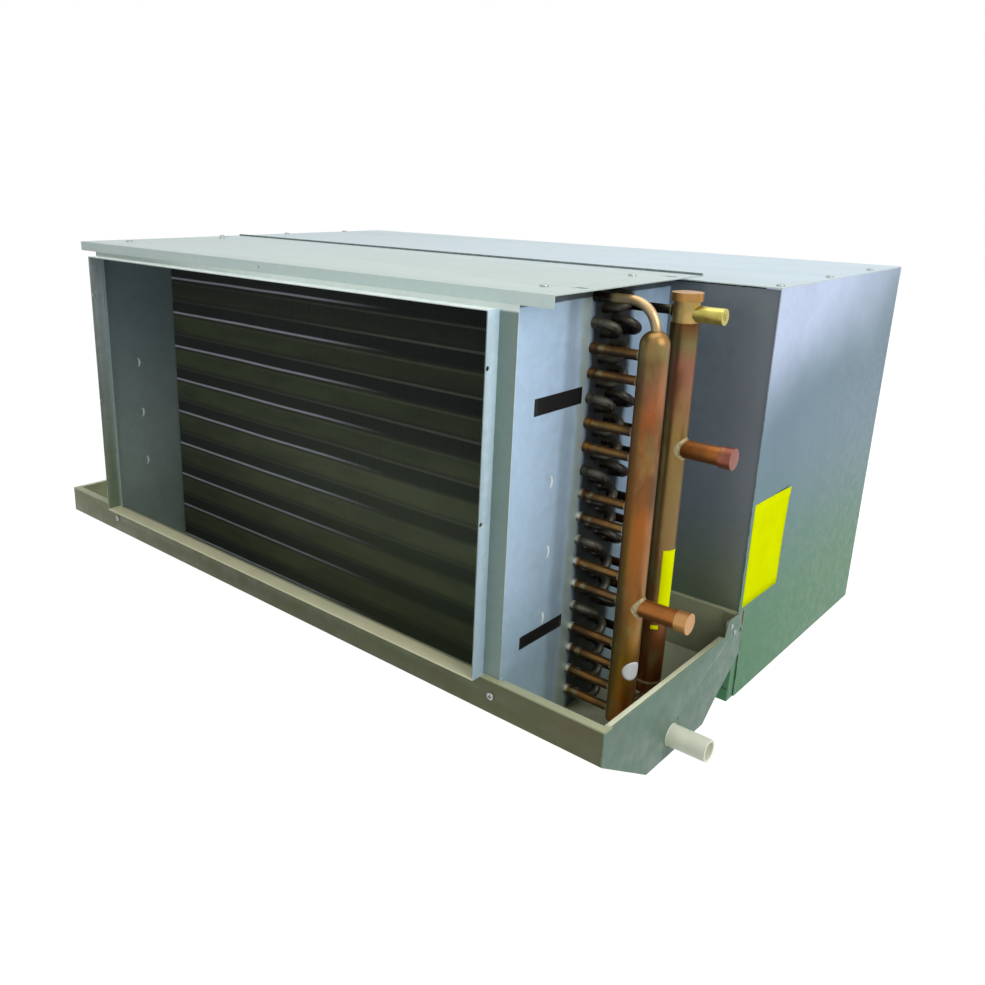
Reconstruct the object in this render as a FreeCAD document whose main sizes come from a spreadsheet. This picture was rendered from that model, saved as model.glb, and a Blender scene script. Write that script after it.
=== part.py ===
import FreeCAD, Part
import math
import os
import re

import Sketcher
from FreeCAD import Placement, Rotation, Vector

# Marine fan coil unit, in millimetres. X runs along the coil, Y from the duct spigot to the return side,
# Z up.
# The origin is on the flat bottom of the drain pan, under the middle of the coil block.

SIZES = {
    # Sheet metal of the pan, the casing and the fan box
    "Sheet": 1.2,
    "FoldWidth": 15,
    # Coil casing
    "CasingWidth": 722,
    "CasingFront": 154,
    "CasingFold": 16,
    "TopSpace": 7.35,
    "TopOverhang": 36.75,
    "TopFlange": 12,
    "TopGap": 1,
    "FlangeHole": 1.6,
    "HangerAway": 19,
    "HangerAlong": 170,
    "HangerMiddle": -4,
    "HangerWidth": 9,
    "HangerLength": 18,
    "PanFootGap": 8,
    "LedgeWidth": 4,
    "LedgeGap": 2,
    "FootWidth": 30,
    "FootInset": 5,
    "FootMargin": 58,
    # Duct spigot
    "CollarMarginLeft": 9,
    "CollarMarginRight": 21,
    "CollarDrop": 17,
    "CollarReach": 17,
    "CollarHole": 2.5,
    "CollarHoleBack": 3,
    "CollarHoleLow": 165,
    "CollarHoleHigh": 315,
    # Drain pan
    "PanFront": 157,
    "PanRim": 93,
    "PanLip": 10,
    "PlateRelief": 0.3,
    "PanKnee": 56,
    "PanFloorFront": 64,
    "PanFloorRear": 61,
    "PanStepRun": 27,
    "PanStepRise": 22,
    "PanHeel": 47,
    "PanRearWall": 111,
    "PanTabFront": 95,
    "PanTabReach": 16,
    "PanTabDrop": 4,
    "PanTabRise": 6,
    "PanTabFlat": 5,
    "TabHole": 2.5,
    "TabHoleInset": 5,
    "TabHoleDrop": 4.5,
    "AngleInset": 4,
    "AngleDrop": 9,
    "AngleTop": 1,
    "NotchGap": 1,
    "DrainBack": -16,
    "DrainHeight": 24,
    "DrainRadius": 12,
    "DrainShoulder": 12.6,
    "DrainBore": 9.5,
    "DrainReach": 41.5,
    "DrainCollar": 16,
    "DrainFlange": 4,
    "DrainInside": 8,
    "PilotBack": 11,
    "PilotRise": 14,
    "PilotRadius": 1.5,
    # Coil
    "TubePitch": 25.4,
    "RowPitch": 19.05,
    "TubeCount": 18,
    "RowCount": 4,
    "TubeRadius": 4.76,
    "TubeBell": 0.85,
    "TubeBellLength": 7,
    "FinBottom": 13.45,
    "RidgePitch": 12,
    "RidgeWidth": 1.6,
    "BendLeg": 9,
    # Headers and water connections
    "HeaderBay": 121.5,
    "HeaderAway": 67.5,
    "HeaderRadius": 14.3,
    "FrontHeaderDrop": 25.3,
    "FrontHeaderRise": 11.55,
    "RearHeaderDrop": 23.3,
    "RearHeaderRise": 24.55,
    "NeckRadius": 13,
    "NeckLength": 21,
    "HeadRadius": 15.3,
    "HeadHeight": 8,
    "FeedRadius": 28.5,
    "FeedDip": 6,
    "RearFeedRadius": 16,
    "ConnectionRadius": 9.525,
    "ConnectionWall": 1.1,
    "ConnectionReach": 64,
    "FrontConnection": 159,
    "RearConnection": 315,
    "CapLength": 11,
    "CapWall": 1.5,
    "VentRise": 9,
    "VentRadius": 8,
    "VentReach": 40,
    "BleedRadius": 3.2,
    "BleedDepth": 8,
    "BleedReach": 0.4,
    "BleedFit": 0.05,
    "BleedSlot": 1.2,
    "BleedSlotDepth": 1.5,
    # Fan box
    "FanFront": 124,
    "FanDepth": 401,
    "FanStep": 6,
    "FanLip": 14.5,
    "ReturnMargin": 42.5,
    "ReturnBottom": 30,
    "ReturnDrop": 32,
    "FilterThick": 17.5,
    "FilterFit": 0.3,
    "FilterRim": 18,
    "FilterDrop": 7.8,
    "FilterSide": 1,
    "MediaThick": 10,
    # Blowers
    "ShaftAway": 176,
    "ShaftHeight": 215,
    "ShaftRadius": 6.35,
    "ShaftPast": 4,
    "BlowerAway": 235,
    "WheelRadius": 100,
    "WheelWidth": 184,
    "BladeInner": 85,
    "BladeCount": 36,
    "BladeThick": 1.2,
    "BladeSweep": 6,
    "BladeBulge": 3,
    "BladeInset": 0.5,
    "RingWidth": 6,
    "RingDepth": 6,
    "HubRadius": 16,
    "HubLength": 30,
    "DiscThick": 2,
    "DiscInset": 2,
    "ScrollGap": 8,
    "ScrollGrowth": 14,
    "ScrollWidth": 200,
    "CutoffHeight": 36,
    "InletRadius": 84,
    "InletLip": 8,
    "BlankLap": 8,
    "BlankGap": 0.4,
    # Motor
    "MotorRadius": 62,
    "MotorLength": 130,
    "MotorWall": 2,
    "BellThick": 8,
    "BellLip": 1.5,
    "BellHub": 18,
    "BellReach": 16,
    "ShaftClear": 2,
    "BearingRadius": 13,
    "BearingLength": 10,
    "StatorInner": 34,
    "StatorLength": 70,
    "AirGap": 0.6,
    "RubberRadius": 26,
    "RubberLength": 12,
    "CradleThick": 3,
    "CradleHalf": 36,
    "CradleFoot": 12,
    "CapacitorRadius": 18,
    "CapacitorLength": 70,
    # Terminal box on the left side
    "TerminalFront": 60,
    "TerminalBottom": 300,
    "TerminalSide": 100,
    "TerminalDepth": 42,
    "CoverLap": 10,
    "BushingRise": 25,
    "BushingRadius": 8,
    "BushingBore": 5,
    "BushingRim": 2,
    "BushingRimDepth": 3,
    "BushingStem": 4,
    # Fasteners
    "ScrewHead": 4.2,
    "ScrewHeadHeight": 2.2,
    "ScrewShank": 2,
    "ScrewLength": 10,
    "CoilScrewFront": 106,
    "CoilScrewRear": 53,
    "FanScrewFront": 17,
    "FanScrewMiddle": 159,
    "FanScrewRear": 100,
    "PanScrewDrop": 17.5,
    "RivetHead": 3.2,
    "RivetHeadHeight": 1.1,
    "RivetShank": 1.6,
    "UpperRivetBack": 15,
    "UpperRivetDrop": 9,
    "LowerRivetBack": 5,
    "LowerRivetDrop": 20,
    "HoleFit": 0.15,
}

# Sizes that follow from others
DERIVED = {
    "FinTop": "FinBottom + TubeCount * TubePitch",
    "TopTube": "FinBottom + (TubeCount - 0.25) * TubePitch",
    "CasingHeight": "FinTop + TopSpace",
    "UnitWidth": "CasingWidth + 2 * HeaderBay",
    "HangerAcross": "CasingWidth + 2 * HangerAway",
    "CollarLeft": "CasingWidth / 2 - CollarMarginLeft",
    "CollarRight": "CasingWidth / 2 - CollarMarginRight",
    "CollarTop": "CasingHeight - CollarDrop",
    "PanSlope": "(PanHeel - PanStepRise) / (FanFront + Sheet - PanFloorRear - PanStepRun)",
    "FrontHeaderTop": "TopTube - FrontHeaderDrop",
    "FrontHeaderBottom": "FinBottom + FrontHeaderRise",
    "RearHeaderTop": "TopTube - RearHeaderDrop",
    "RearHeaderBottom": "FinBottom + RearHeaderRise",
    "NeckTop": "RearHeaderTop + NeckLength",
    "VentHeight": "RearHeaderTop + VentRise",
    "FanHeight": "CasingHeight - FanStep",
    "ReturnWidth": "UnitWidth - 2 * ReturnMargin",
    "ReturnHeight": "FanHeight - ReturnBottom - ReturnDrop",
    "FilterHeight": "FanHeight - Sheet - FilterDrop",
    "OutletBottom": "ShaftHeight + CutoffHeight",
    "OutletTop": "ShaftHeight + WheelRadius + ScrollGap + 3 * ScrollGrowth",
}

# Planes that several pieces share, as expressions of the sizes
HALF = "UnitWidth / 2"
INSIDE = "(UnitWidth / 2 - Sheet)"
CASING = "CasingWidth / 2"
CASING_INSIDE = "(CasingWidth / 2 - Sheet)"
DECK = "(FanFront + Sheet)"
FAN_REAR = "(FanFront + FanDepth)"
STEP = "(PanFloorRear + PanStepRun)"
FIN_HALF = "(RowCount * RowPitch / 2)"
OUTER_ROW = "((RowCount - 1) * RowPitch / 2)"
HEADER = "(CasingWidth / 2 + HeaderAway)"
SHAFT_Y = "(FanFront + ShaftAway)"
FILTER = f"({FAN_REAR} - Sheet - FilterThick - FilterFit)"
BELL = "(MotorLength / 2 + BellThick)"
HUB_END = f"({BELL} + BellReach)"

doc = FreeCAD.newDocument("FanCoil")
sheet = doc.addObject("Spreadsheet::Sheet", "Sizes")
for row, (alias, size) in enumerate(SIZES.items(), start=1):
    sheet.set(f"A{row}", alias)
    sheet.set(f"B{row}", str(size))
    sheet.setAlias(f"B{row}", alias)
doc.recompute()

AXES = {
    "x": Rotation(Vector(0, 1, 0), 90),
    "y": Rotation(Vector(1, 0, 0), -90),
    "z": Rotation(),
}
PLANES = {
    "xy": (Rotation(), Vector(0, 0, 1), "z"),
    "yz": (Rotation(Vector(0, 1, 0), Vector(0, 0, 1), Vector(1, 0, 0), "XYZ"), Vector(1, 0, 0), "x"),
}


def linked(text):
    """The expression with derived sizes written out and every size's name pointing at its cell."""

    def cell(word):
        name = word[0]
        if name in DERIVED:
            return f"({linked(DERIVED[name])})"
        return f"Sizes.{name}" if name in SIZES else name

    return re.sub(r"[A-Za-z]+", cell, str(text))


def value(text):
    """The number that an expression of the sizes comes to."""
    return float(sheet.evalExpression(linked(text)))


def box(label, x, y, z):
    """A block between a pair of planes on each axis."""
    block = doc.addObject("Part::Box", label)
    for side, edge, (low, high) in zip(("Length", "Width", "Height"), "xyz", (x, y, z)):
        block.setExpression(side, linked(f"({high}) - ({low})"))
        block.setExpression(f"Placement.Base.{edge}", linked(low))
    return block


def rod(label, axis, centre, span, radius):
    """A round bar along an axis, with its centre on the other two axes."""
    bar = doc.addObject("Part::Cylinder", label)
    bar.Placement = Placement(Vector(), AXES[axis])
    bar.setExpression("Radius", linked(radius))
    bar.setExpression("Height", linked(f"({span[1]}) - ({span[0]})"))
    places = list(centre)
    places.insert("xyz".index(axis), span[0])
    for edge, place in zip("xyz", places):
        bar.setExpression(f"Placement.Base.{edge}", linked(place))
    return bar


def outline(label, plane, points, closed):
    """A sketch of straight lines, each corner held by two expressions."""
    sketch = doc.addObject("Sketcher::SketchObject", label)
    sketch.Placement = Placement(Vector(), PLANES[plane][0])
    places = [(value(across), value(along)) for across, along in points]
    count = len(points) if closed else len(points) - 1
    for index in range(count):
        start = places[index]
        end = places[(index + 1) % len(points)]
        sketch.addGeometry(Part.LineSegment(Vector(*start, 0), Vector(*end, 0)), False)
    for index in range(count - 1):
        sketch.addConstraint(Sketcher.Constraint("Coincident", index, 2, index + 1, 1))
    if closed:
        sketch.addConstraint(Sketcher.Constraint("Coincident", count - 1, 2, 0, 1))
    for index, point in enumerate(points):
        line, end = (index, 1) if index < count else (index - 1, 2)
        for kind, place, text in zip(("DistanceX", "DistanceY"), places[index], point):
            bound = sketch.addConstraint(Sketcher.Constraint(kind, -1, 1, line, end, place))
            sketch.setExpression(f"Constraints[{bound}]", linked(text))
    return sketch


def extruded(label, profile, plane, span):
    """A profile pushed along the normal of its plane, from one place to another."""
    turn, along, edge = PLANES[plane]
    solid = doc.addObject("Part::Extrusion", label)
    solid.Base = profile
    solid.DirMode = "Custom"
    solid.Dir = along
    solid.Solid = True
    solid.setExpression("LengthFwd", linked(f"({span[1]}) - ({span[0]})"))
    solid.setExpression(f"Placement.Base.{edge}", linked(span[0]))
    return solid


def plate(label, plane, points, span):
    """A flat piece with a closed outline."""
    return extruded(label, outline(label + "_outline", plane, points, True), plane, span)


def folded(label, plane, points, wall, span):
    """Sheet metal folded along an open path; a positive wall lies to the right of the path."""
    strip = doc.addObject("Part::Offset2D", label + "_strip")
    strip.Source = outline(label + "_path", plane, points, False)
    strip.setExpression("Value", linked(wall))
    strip.Fill = True
    strip.Mode = "Skin"
    strip.Join = "Intersection"
    return extruded(label, strip, plane, span)


def fused(label, pieces):
    """One solid out of pieces that are folded or welded together."""
    solid = doc.addObject("Part::MultiFuse", label)
    solid.Shapes = pieces
    return solid


def group(label, pieces):
    """Separate pieces kept together."""
    together = doc.addObject("Part::Compound", label)
    together.Links = pieces
    return together


def cut(label, base, tools):
    """A piece with holes or openings."""
    solid = doc.addObject("Part::Cut", label)
    solid.Base = base
    solid.Tool = tools[0] if len(tools) == 1 else group(label + "_tools", tools)
    return solid


def made(label, shape, place=Vector()):
    """A piece whose shape is worked out below from the sizes, moved to its place."""
    piece = doc.addObject("Part::Feature", label)
    piece.Shape = shape
    piece.Placement = Placement(place, Rotation())
    return piece


def both_sides(text):
    """A place on the right and its mirror on the left."""
    return (text, f"-({text})")


# Screw and rivet places: across and along for the top, across and up for the pan front
COIL_SCREWS = [
    (side, along)
    for side in both_sides("CasingWidth / 2 - CasingFold / 2")
    for along in ("-CoilScrewFront", "CoilScrewRear")
]
FAN_SCREWS = [
    (side, f"FanFront + {along}")
    for side in both_sides(f"{INSIDE} - FoldWidth / 2")
    for along in ("FanScrewFront", "FanScrewMiddle", "FanDepth - FanScrewRear")
]
PAN_SCREWS = [(side, "PanRim - PanScrewDrop") for side in both_sides("CasingWidth / 2 - CasingFold / 2")]
RIVETS = [
    ("FanFront - UpperRivetBack", "PanRearWall - UpperRivetDrop"),
    ("FanFront - LowerRivetBack", "PanRearWall - LowerRivetDrop"),
]
COVER_SCREWS = [
    (along, up)
    for along in (
        "FanFront + TerminalFront - CoverLap / 2",
        "FanFront + TerminalFront + TerminalSide + CoverLap / 2",
    )
    for up in ("TerminalBottom - CoverLap / 2", "TerminalBottom + TerminalSide + CoverLap / 2")
]


def shank_holes(label, axis, places, span, shank="ScrewShank"):
    """Clearance holes for the shanks of a row of fasteners."""
    return [
        rod(f"{label}_{index}", axis, place, span, f"{shank} + HoleFit") for index, place in enumerate(places)
    ]


def drain_pan():
    """The folded tray with its two end plates, angles, rivets and drain stub."""
    tray = folded(
        "pan_fold",
        "yz",
        [
            ("PanLip - PanFront", "PanRim"),
            ("-PanFront", "PanRim"),
            ("-PanFront", "PanKnee"),
            ("-PanFloorFront", "0"),
            ("PanFloorRear", "0"),
            (STEP, "PanStepRise"),
            (DECK, f"PanStepRise + ({DECK} - {STEP}) * PanSlope"),
            (DECK, "PanRearWall"),
        ],
        "-Sheet",
        (f"-{INSIDE}", INSIDE),
    )
    holes = shank_holes("pan_hole", "y", PAN_SCREWS, ("-PanFront - 1", "2 * Sheet - PanFront"))
    for name, sign in (("right", ""), ("left", "-")):
        near = f"{sign}(CasingWidth / 2 - CasingFold - PlateRelief)"
        far = f"{sign}(CasingWidth / 2 + PlateRelief)"
        low, high = sorted((near, far), key=value)
        holes.append(
            box(
                f"lip_notch_{name}",
                (low, high),
                ("Sheet - CasingFront - PlateRelief", "PanLip - PanFront + 1"),
                ("PanRim - 2 * Sheet", "PanRim + 1"),
            )
        )
    cut("drain_pan_tray", tray, holes)
    end = [
        ("-PanFront", "PanRim"),
        ("-PanFront", "PanKnee"),
        ("-PanFloorFront", "0"),
        ("PanFloorRear", "0"),
        (STEP, "PanStepRise"),
        ("FanFront + PanTabReach", f"PanStepRise + (FanFront + PanTabReach - {STEP}) * PanSlope"),
        ("FanFront + PanTabReach", "PanRim - PanTabDrop"),
        ("FanFront + PanTabFlat", "PanRearWall"),
        ("PanTabFront + PanTabRise", "PanRearWall"),
        ("PanTabFront", "PanRim"),
    ]
    drain = ("DrainBack", "DrainHeight")
    for side, (low, high) in (("right", (INSIDE, HALF)), ("left", (f"-({HALF})", f"-{INSIDE}"))):
        wall = plate(f"pan_end_{side}_sheet", "yz", end, (low, high))
        past = (f"{low} - 1", f"{high} + 1")
        holes = shank_holes(f"pan_end_{side}_rivet", "x", RIVETS, past, "RivetShank")
        fixing = ("FanFront + PanTabReach - TabHoleInset", "PanRim - TabHoleDrop")
        holes.append(rod(f"pan_end_{side}_fixing", "x", fixing, past, "TabHole"))
        if side == "right":
            holes.append(rod("drain_hole", "x", drain, past, "DrainShoulder + HoleFit"))
            pilot = ("DrainBack + PilotBack", "DrainHeight + PilotRise")
            holes.append(rod("drain_pilot", "x", pilot, past, "PilotRadius"))
        cut(f"pan_end_{side}", wall, holes)
    angles = []
    up = ("PanRim - AngleDrop", "PanRearWall - AngleTop")
    for side, sign in (("right", ""), ("left", "-")):
        low, high = sorted((f"{sign}{INSIDE}", f"{sign}({INSIDE} - FoldWidth)"), key=value)
        near, far = sorted((f"{sign}{INSIDE}", f"{sign}({INSIDE} - Sheet)"), key=value)
        leg = box(f"angle_{side}_leg", (near, far), ("PanTabFront + AngleInset", "FanFront"), up)
        back = box(f"angle_{side}_back", (low, high), ("FanFront - Sheet", "FanFront"), up)
        angle = fused(f"angle_{side}_fold", [leg, back])
        past = (f"{near} - 1", f"{far} + 1")
        holes = shank_holes(f"angle_{side}_hole", "x", RIVETS, past, "RivetShank")
        angles.append(cut(f"angle_{side}", angle, holes))
    group("pan_angles", angles)
    stub = fused(
        "drain_body",
        [
            rod("drain_tube", "x", drain, (f"{INSIDE} - DrainInside", f"{HALF} + DrainReach"), "DrainRadius"),
            rod("drain_flange", "x", drain, (f"{INSIDE} - DrainFlange", INSIDE), "DrainCollar"),
            rod("drain_shoulder", "x", drain, (INSIDE, HALF), "DrainShoulder"),
        ],
    )
    past = (f"{INSIDE} - DrainInside - 1", f"{HALF} + DrainReach + 1")
    bore = rod("drain_bore", "x", drain, past, "DrainBore")
    cut("drain_stub", stub, [bore])


def coil_casing():
    """Side plates, top panel, spigot, sealing channel and the feet under the coil."""
    ledge = f"{DECK} - LedgeWidth"
    side = [
        ("Sheet - CasingFront", "PanKnee + PanFootGap"),
        ("-PanFloorFront", "PanFootGap"),
        ("PanFloorRear", "PanFootGap"),
        (STEP, "PanStepRise + PanFootGap"),
        (ledge, f"PanStepRise + ({ledge} - {STEP}) * PanSlope + PanFootGap"),
        (ledge, "PanRearWall + LedgeGap"),
        (DECK, "PanRearWall + LedgeGap"),
        (DECK, "FanHeight - 2 * Sheet - PlateRelief"),
        ("FanFront - PlateRelief", "FanHeight - 2 * Sheet - PlateRelief"),
        ("FanFront - PlateRelief", "CasingHeight - Sheet"),
        ("Sheet - CasingFront", "CasingHeight - Sheet"),
    ]
    for name, sign in (("right", 1), ("left", -1)):
        outer, inner, fold = CASING, CASING_INSIDE, "CasingWidth / 2 - CasingFold"
        span = (fold, outer) if sign > 0 else (f"-({outer})", f"-({fold})")
        hollow = (f"{fold} - 1", inner) if sign > 0 else (f"-{inner}", f"1 - ({fold})")
        blank = plate(f"side_{name}_blank", "yz", side, span)
        inside = box(
            f"side_{name}_inside",
            hollow,
            ("2 * Sheet - CasingFront", f"{DECK} - Sheet"),
            ("0", "CasingHeight - 2 * Sheet"),
        )
        top = shank_holes(
            f"side_{name}_top", "z", COIL_SCREWS, ("CasingHeight - 3 * Sheet", "CasingHeight + 1")
        )
        past = ("-CasingFront", "3 * Sheet - CasingFront")
        front = shank_holes(f"side_{name}_front", "y", PAN_SCREWS, past)
        cut(f"coil_side_{name}", blank, [inside] + top + front)
    panel = folded(
        "top_fold",
        "yz",
        [
            ("-CasingFront - Sheet", "CasingHeight - TopFlange"),
            ("-CasingFront - Sheet", "CasingHeight"),
            ("FanFront - TopGap", "CasingHeight"),
        ],
        "Sheet",
        (f"-({CASING} + TopOverhang)", f"{CASING} + TopOverhang"),
    )
    through = ("CasingHeight - Sheet - 1", "CasingHeight + 1")
    holes = shank_holes("top_hole", "z", COIL_SCREWS, through)
    for across in both_sides("HangerAcross / 2"):
        for index, along in enumerate(both_sides("HangerAlong / 2")):
            name = f"hanger_{'right' if across[0] != '-' else 'left'}_{index}"
            middle = f"(HangerMiddle + {along})"
            straight = "(HangerLength - HangerWidth) / 2"
            slot = box(
                name,
                (f"{across} - {straight}", f"{across} + {straight}"),
                (f"{middle} - HangerWidth / 2", f"{middle} + HangerWidth / 2"),
                through,
            )
            ends = [
                rod(f"{name}_{end}", "z", (place, middle), through, "HangerWidth / 2")
                for end, place in (("start", f"{across} - {straight}"), ("end", f"{across} + {straight}"))
            ]
            holes.append(fused(f"{name}_slot", [slot] + ends))
    front = ("-CasingFront - 2 * Sheet", "Sheet - CasingFront")
    holes.append(rod("flange_hole", "y", ("0", "CasingHeight - TopFlange / 2"), front, "FlangeHole"))
    cut("coil_top_panel", panel, holes)
    folded(
        "coil_top_channel",
        "yz",
        [
            (f"-{FIN_HALF}", "FinTop"),
            (f"-{FIN_HALF}", "CasingHeight - Sheet"),
            (FIN_HALF, "CasingHeight - Sheet"),
            (FIN_HALF, "FinTop"),
        ],
        "Sheet",
        ("CasingFold - CasingWidth / 2", "CasingWidth / 2 - CasingFold"),
    )
    feet = [
        folded(
            f"foot_{name}",
            "yz",
            [
                (f"FootInset - {FIN_HALF}", "Sheet"),
                (f"FootInset - {FIN_HALF}", "FinBottom"),
                (f"{FIN_HALF} - FootInset", "FinBottom"),
                (f"{FIN_HALF} - FootInset", "Sheet"),
            ],
            "Sheet",
            (f"{middle} - FootWidth / 2", f"{middle} + FootWidth / 2"),
        )
        for name, middle in (
            ("left", "FootMargin - CasingWidth / 2"),
            ("middle", "0"),
            ("right", "CasingWidth / 2 - FootMargin"),
        )
    ]
    group("coil_feet", feet)
    front = ("-CasingFront - CollarReach", "Sheet - CasingFront")
    wall = box("collar_outside", ("-CollarLeft", "CollarRight"), front, ("PanRim", "CollarTop"))
    flange = box(
        "collar_flange",
        (f"-({CASING})", CASING),
        ("-CasingFront", "Sheet - CasingFront"),
        ("PanRim", "CasingHeight - Sheet"),
    )
    mouth = box(
        "collar_mouth",
        ("Sheet - CollarLeft", "CollarRight - Sheet"),
        ("-CasingFront - CollarReach - 1", "Sheet - CasingFront + 1"),
        ("PanRim + Sheet", "CollarTop - Sheet"),
    )
    fixings = [
        rod(
            f"collar_hole_{index}",
            "x",
            ("CollarHoleBack - CasingFront - CollarReach", f"PanRim + {up}"),
            ("-CollarLeft - 1", "CollarRight + 1"),
            "CollarHole",
        )
        for index, up in enumerate(("CollarHoleLow", "CollarHoleHigh"))
    ]
    cut("duct_collar", fused("collar_sheet", [wall, flange]), [mouth] + fixings)


def tube_place(row, level):
    """Where a tube of the coil comes out: rows one and three lie half a pitch above rows two and four."""
    across = (row - (value("RowCount") + 1) / 2) * value("RowPitch")
    shift = value("TubePitch") / 2 if row % 2 == 0 else 0
    return across, value("TopTube") - shift - level * value("TubePitch")


def tube_bell(across, up, side=1):
    """The widened end of a tube where it leaves the side plate."""
    radius = value("TubeRadius + TubeBell")
    return Part.makeCylinder(
        radius, value("TubeBellLength"), Vector(side * value(CASING), across, up), Vector(side, 0, 0)
    )


def tube(points, radius, bends):
    """A round tube along straight runs with an arc of its own radius at each inner point."""
    edges = []
    start = points[0]
    for before, corner, after, bend in zip(points, points[1:], points[2:], bends):
        back = (before - corner).normalize()
        ahead = (after - corner).normalize()
        half = math.acos(max(-1, min(1, back.dot(ahead)))) / 2
        reach = bend / math.tan(half)
        middle = corner + (back + ahead).normalize() * (bend / math.sin(half) - bend)
        if (corner + back * reach - start).Length > 1e-6:
            edges.append(Part.LineSegment(start, corner + back * reach).toShape())
        edges.append(Part.Arc(corner + back * reach, middle, corner + ahead * reach).toShape())
        start = corner + ahead * reach
    if (points[-1] - start).Length > 1e-6:
        edges.append(Part.LineSegment(start, points[-1]).toShape())
    ring = Part.Wire(Part.makeCircle(radius, points[0], points[1] - points[0]))
    return Part.Wire(edges).makePipeShell([ring], True, False)


def return_bend(first, second, side):
    """A hairpin between two tubes; side is 1 on the right of the coil and -1 on the left."""
    start = Vector(side * value(CASING), *first)
    end = Vector(side * value(CASING), *second)
    half = (end - start).Length / 2
    reach = Vector(side * (value("BendLeg") + half), 0, 0)
    bend = tube([start, start + reach, end + reach, end], value("TubeRadius"), [half, half])
    return bend.fuse([tube_bell(*first, side), tube_bell(*second, side)])


def coil():
    """The fin block with its return bends, stubs and feed tubes."""
    ends = (f"-{CASING_INSIDE}", CASING_INSIDE)
    block = box("fin_stack", ends, (f"-{FIN_HALF}", FIN_HALF), ("FinBottom", "FinTop"))
    grooves = []
    for index in range(int(value(f"2 * {CASING_INSIDE} / RidgePitch"))):
        across = (f"{ends[0]} + {index} * RidgePitch + RidgeWidth", f"{ends[0]} + {index + 1} * RidgePitch")
        for name, along in (
            ("front", (f"-{FIN_HALF} - 1", f"RowPitch / 2 - TubeRadius - {FIN_HALF}")),
            ("rear", (f"{FIN_HALF} + TubeRadius - RowPitch / 2", f"{FIN_HALF} + 1")),
        ):
            grooves.append(box(f"groove_{name}_{index}", across, along, ("FinBottom - 1", "FinTop + 1")))
    cut("coil_fin_block", block, grooves)
    levels = int(value("TubeCount"))
    rows = int(value("RowCount"))
    looped = range(1, levels - 4, 3)
    right = []
    for level in range(levels):
        pairs = [(row, row + 1) for row in range(1, rows) if (row % 2 == 1) == (level in looped)]
        right += [return_bend(tube_place(a, level), tube_place(b, level), 1) for a, b in pairs]
    made("return_bends_right", Part.makeCompound(right))
    left = []
    for level in range(levels):
        if level in looped:
            left += [
                return_bend(tube_place(row, level - 1), tube_place(row, level), -1)
                for row in range(1, rows + 1)
            ]
        elif level + 1 not in looped:
            left += [
                return_bend(tube_place(row, level), tube_place(row + 1, level), -1)
                for row in range(1, rows, 2)
            ]
    made("return_bends_left", Part.makeCompound(left))
    start = value(CASING)
    end = value(HEADER)
    radius = value("TubeRadius")
    open_levels = [level for level in range(levels) if level not in looped]
    for name, row, header, ends in (
        ("front_stubs", 1, front_header_body(), open_levels[1:]),
        ("rear_stubs", rows, rear_header_body(), open_levels[:-1]),
    ):
        stubs = []
        for level in ends:
            across, up = tube_place(row, level)
            stub = Part.makeCylinder(radius, end - start, Vector(start, across, up), Vector(1, 0, 0))
            stubs.append(stub.fuse(tube_bell(across, up)).cut(header))
        made(name, Part.makeCompound(stubs))
    across, up = tube_place(1, 0)
    dip = value("FrontHeaderTop - FeedDip")
    front = tube(
        [Vector(start, across, up), Vector(end, across, up), Vector(end, across, dip)],
        radius,
        [value("FeedRadius")],
    )
    front = front.fuse(tube_bell(across, up)).cut(front_header_body())
    across, up = tube_place(rows, levels - 1)
    rear = tube(
        [Vector(start, across, up), Vector(end, across, up), Vector(end, across, value("RearHeaderBottom"))],
        radius,
        [value("RearFeedRadius")],
    ).fuse(tube_bell(across, up))
    made("feed_tubes", Part.makeCompound([front, rear]))


def front_header_body():
    """The front header: a straight tube with a domed top and a flat closed end."""
    radius = value("HeaderRadius")
    bottom = value("FrontHeaderBottom")
    top = value("FrontHeaderTop")
    centre = Vector(value(HEADER), -value(OUTER_ROW), bottom)
    barrel = Part.makeCylinder(radius, top - radius - bottom, centre)
    dome = Part.makeSphere(radius, centre + Vector(0, 0, top - radius - bottom), Vector(0, 0, 1), 0, 90)
    return barrel.fuse(dome).removeSplitter()


def rear_header_body():
    """The rear header with its narrower neck."""
    centre = Vector(value(HEADER), value(OUTER_ROW), 0)
    low, shoulder, high = value("RearHeaderBottom"), value("RearHeaderTop"), value("NeckTop")
    barrel = Part.makeCylinder(value("HeaderRadius"), shoulder - low, centre + Vector(0, 0, low))
    neck = Part.makeCylinder(value("NeckRadius"), high - shoulder, centre + Vector(0, 0, shoulder))
    return barrel.fuse(neck)


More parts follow.
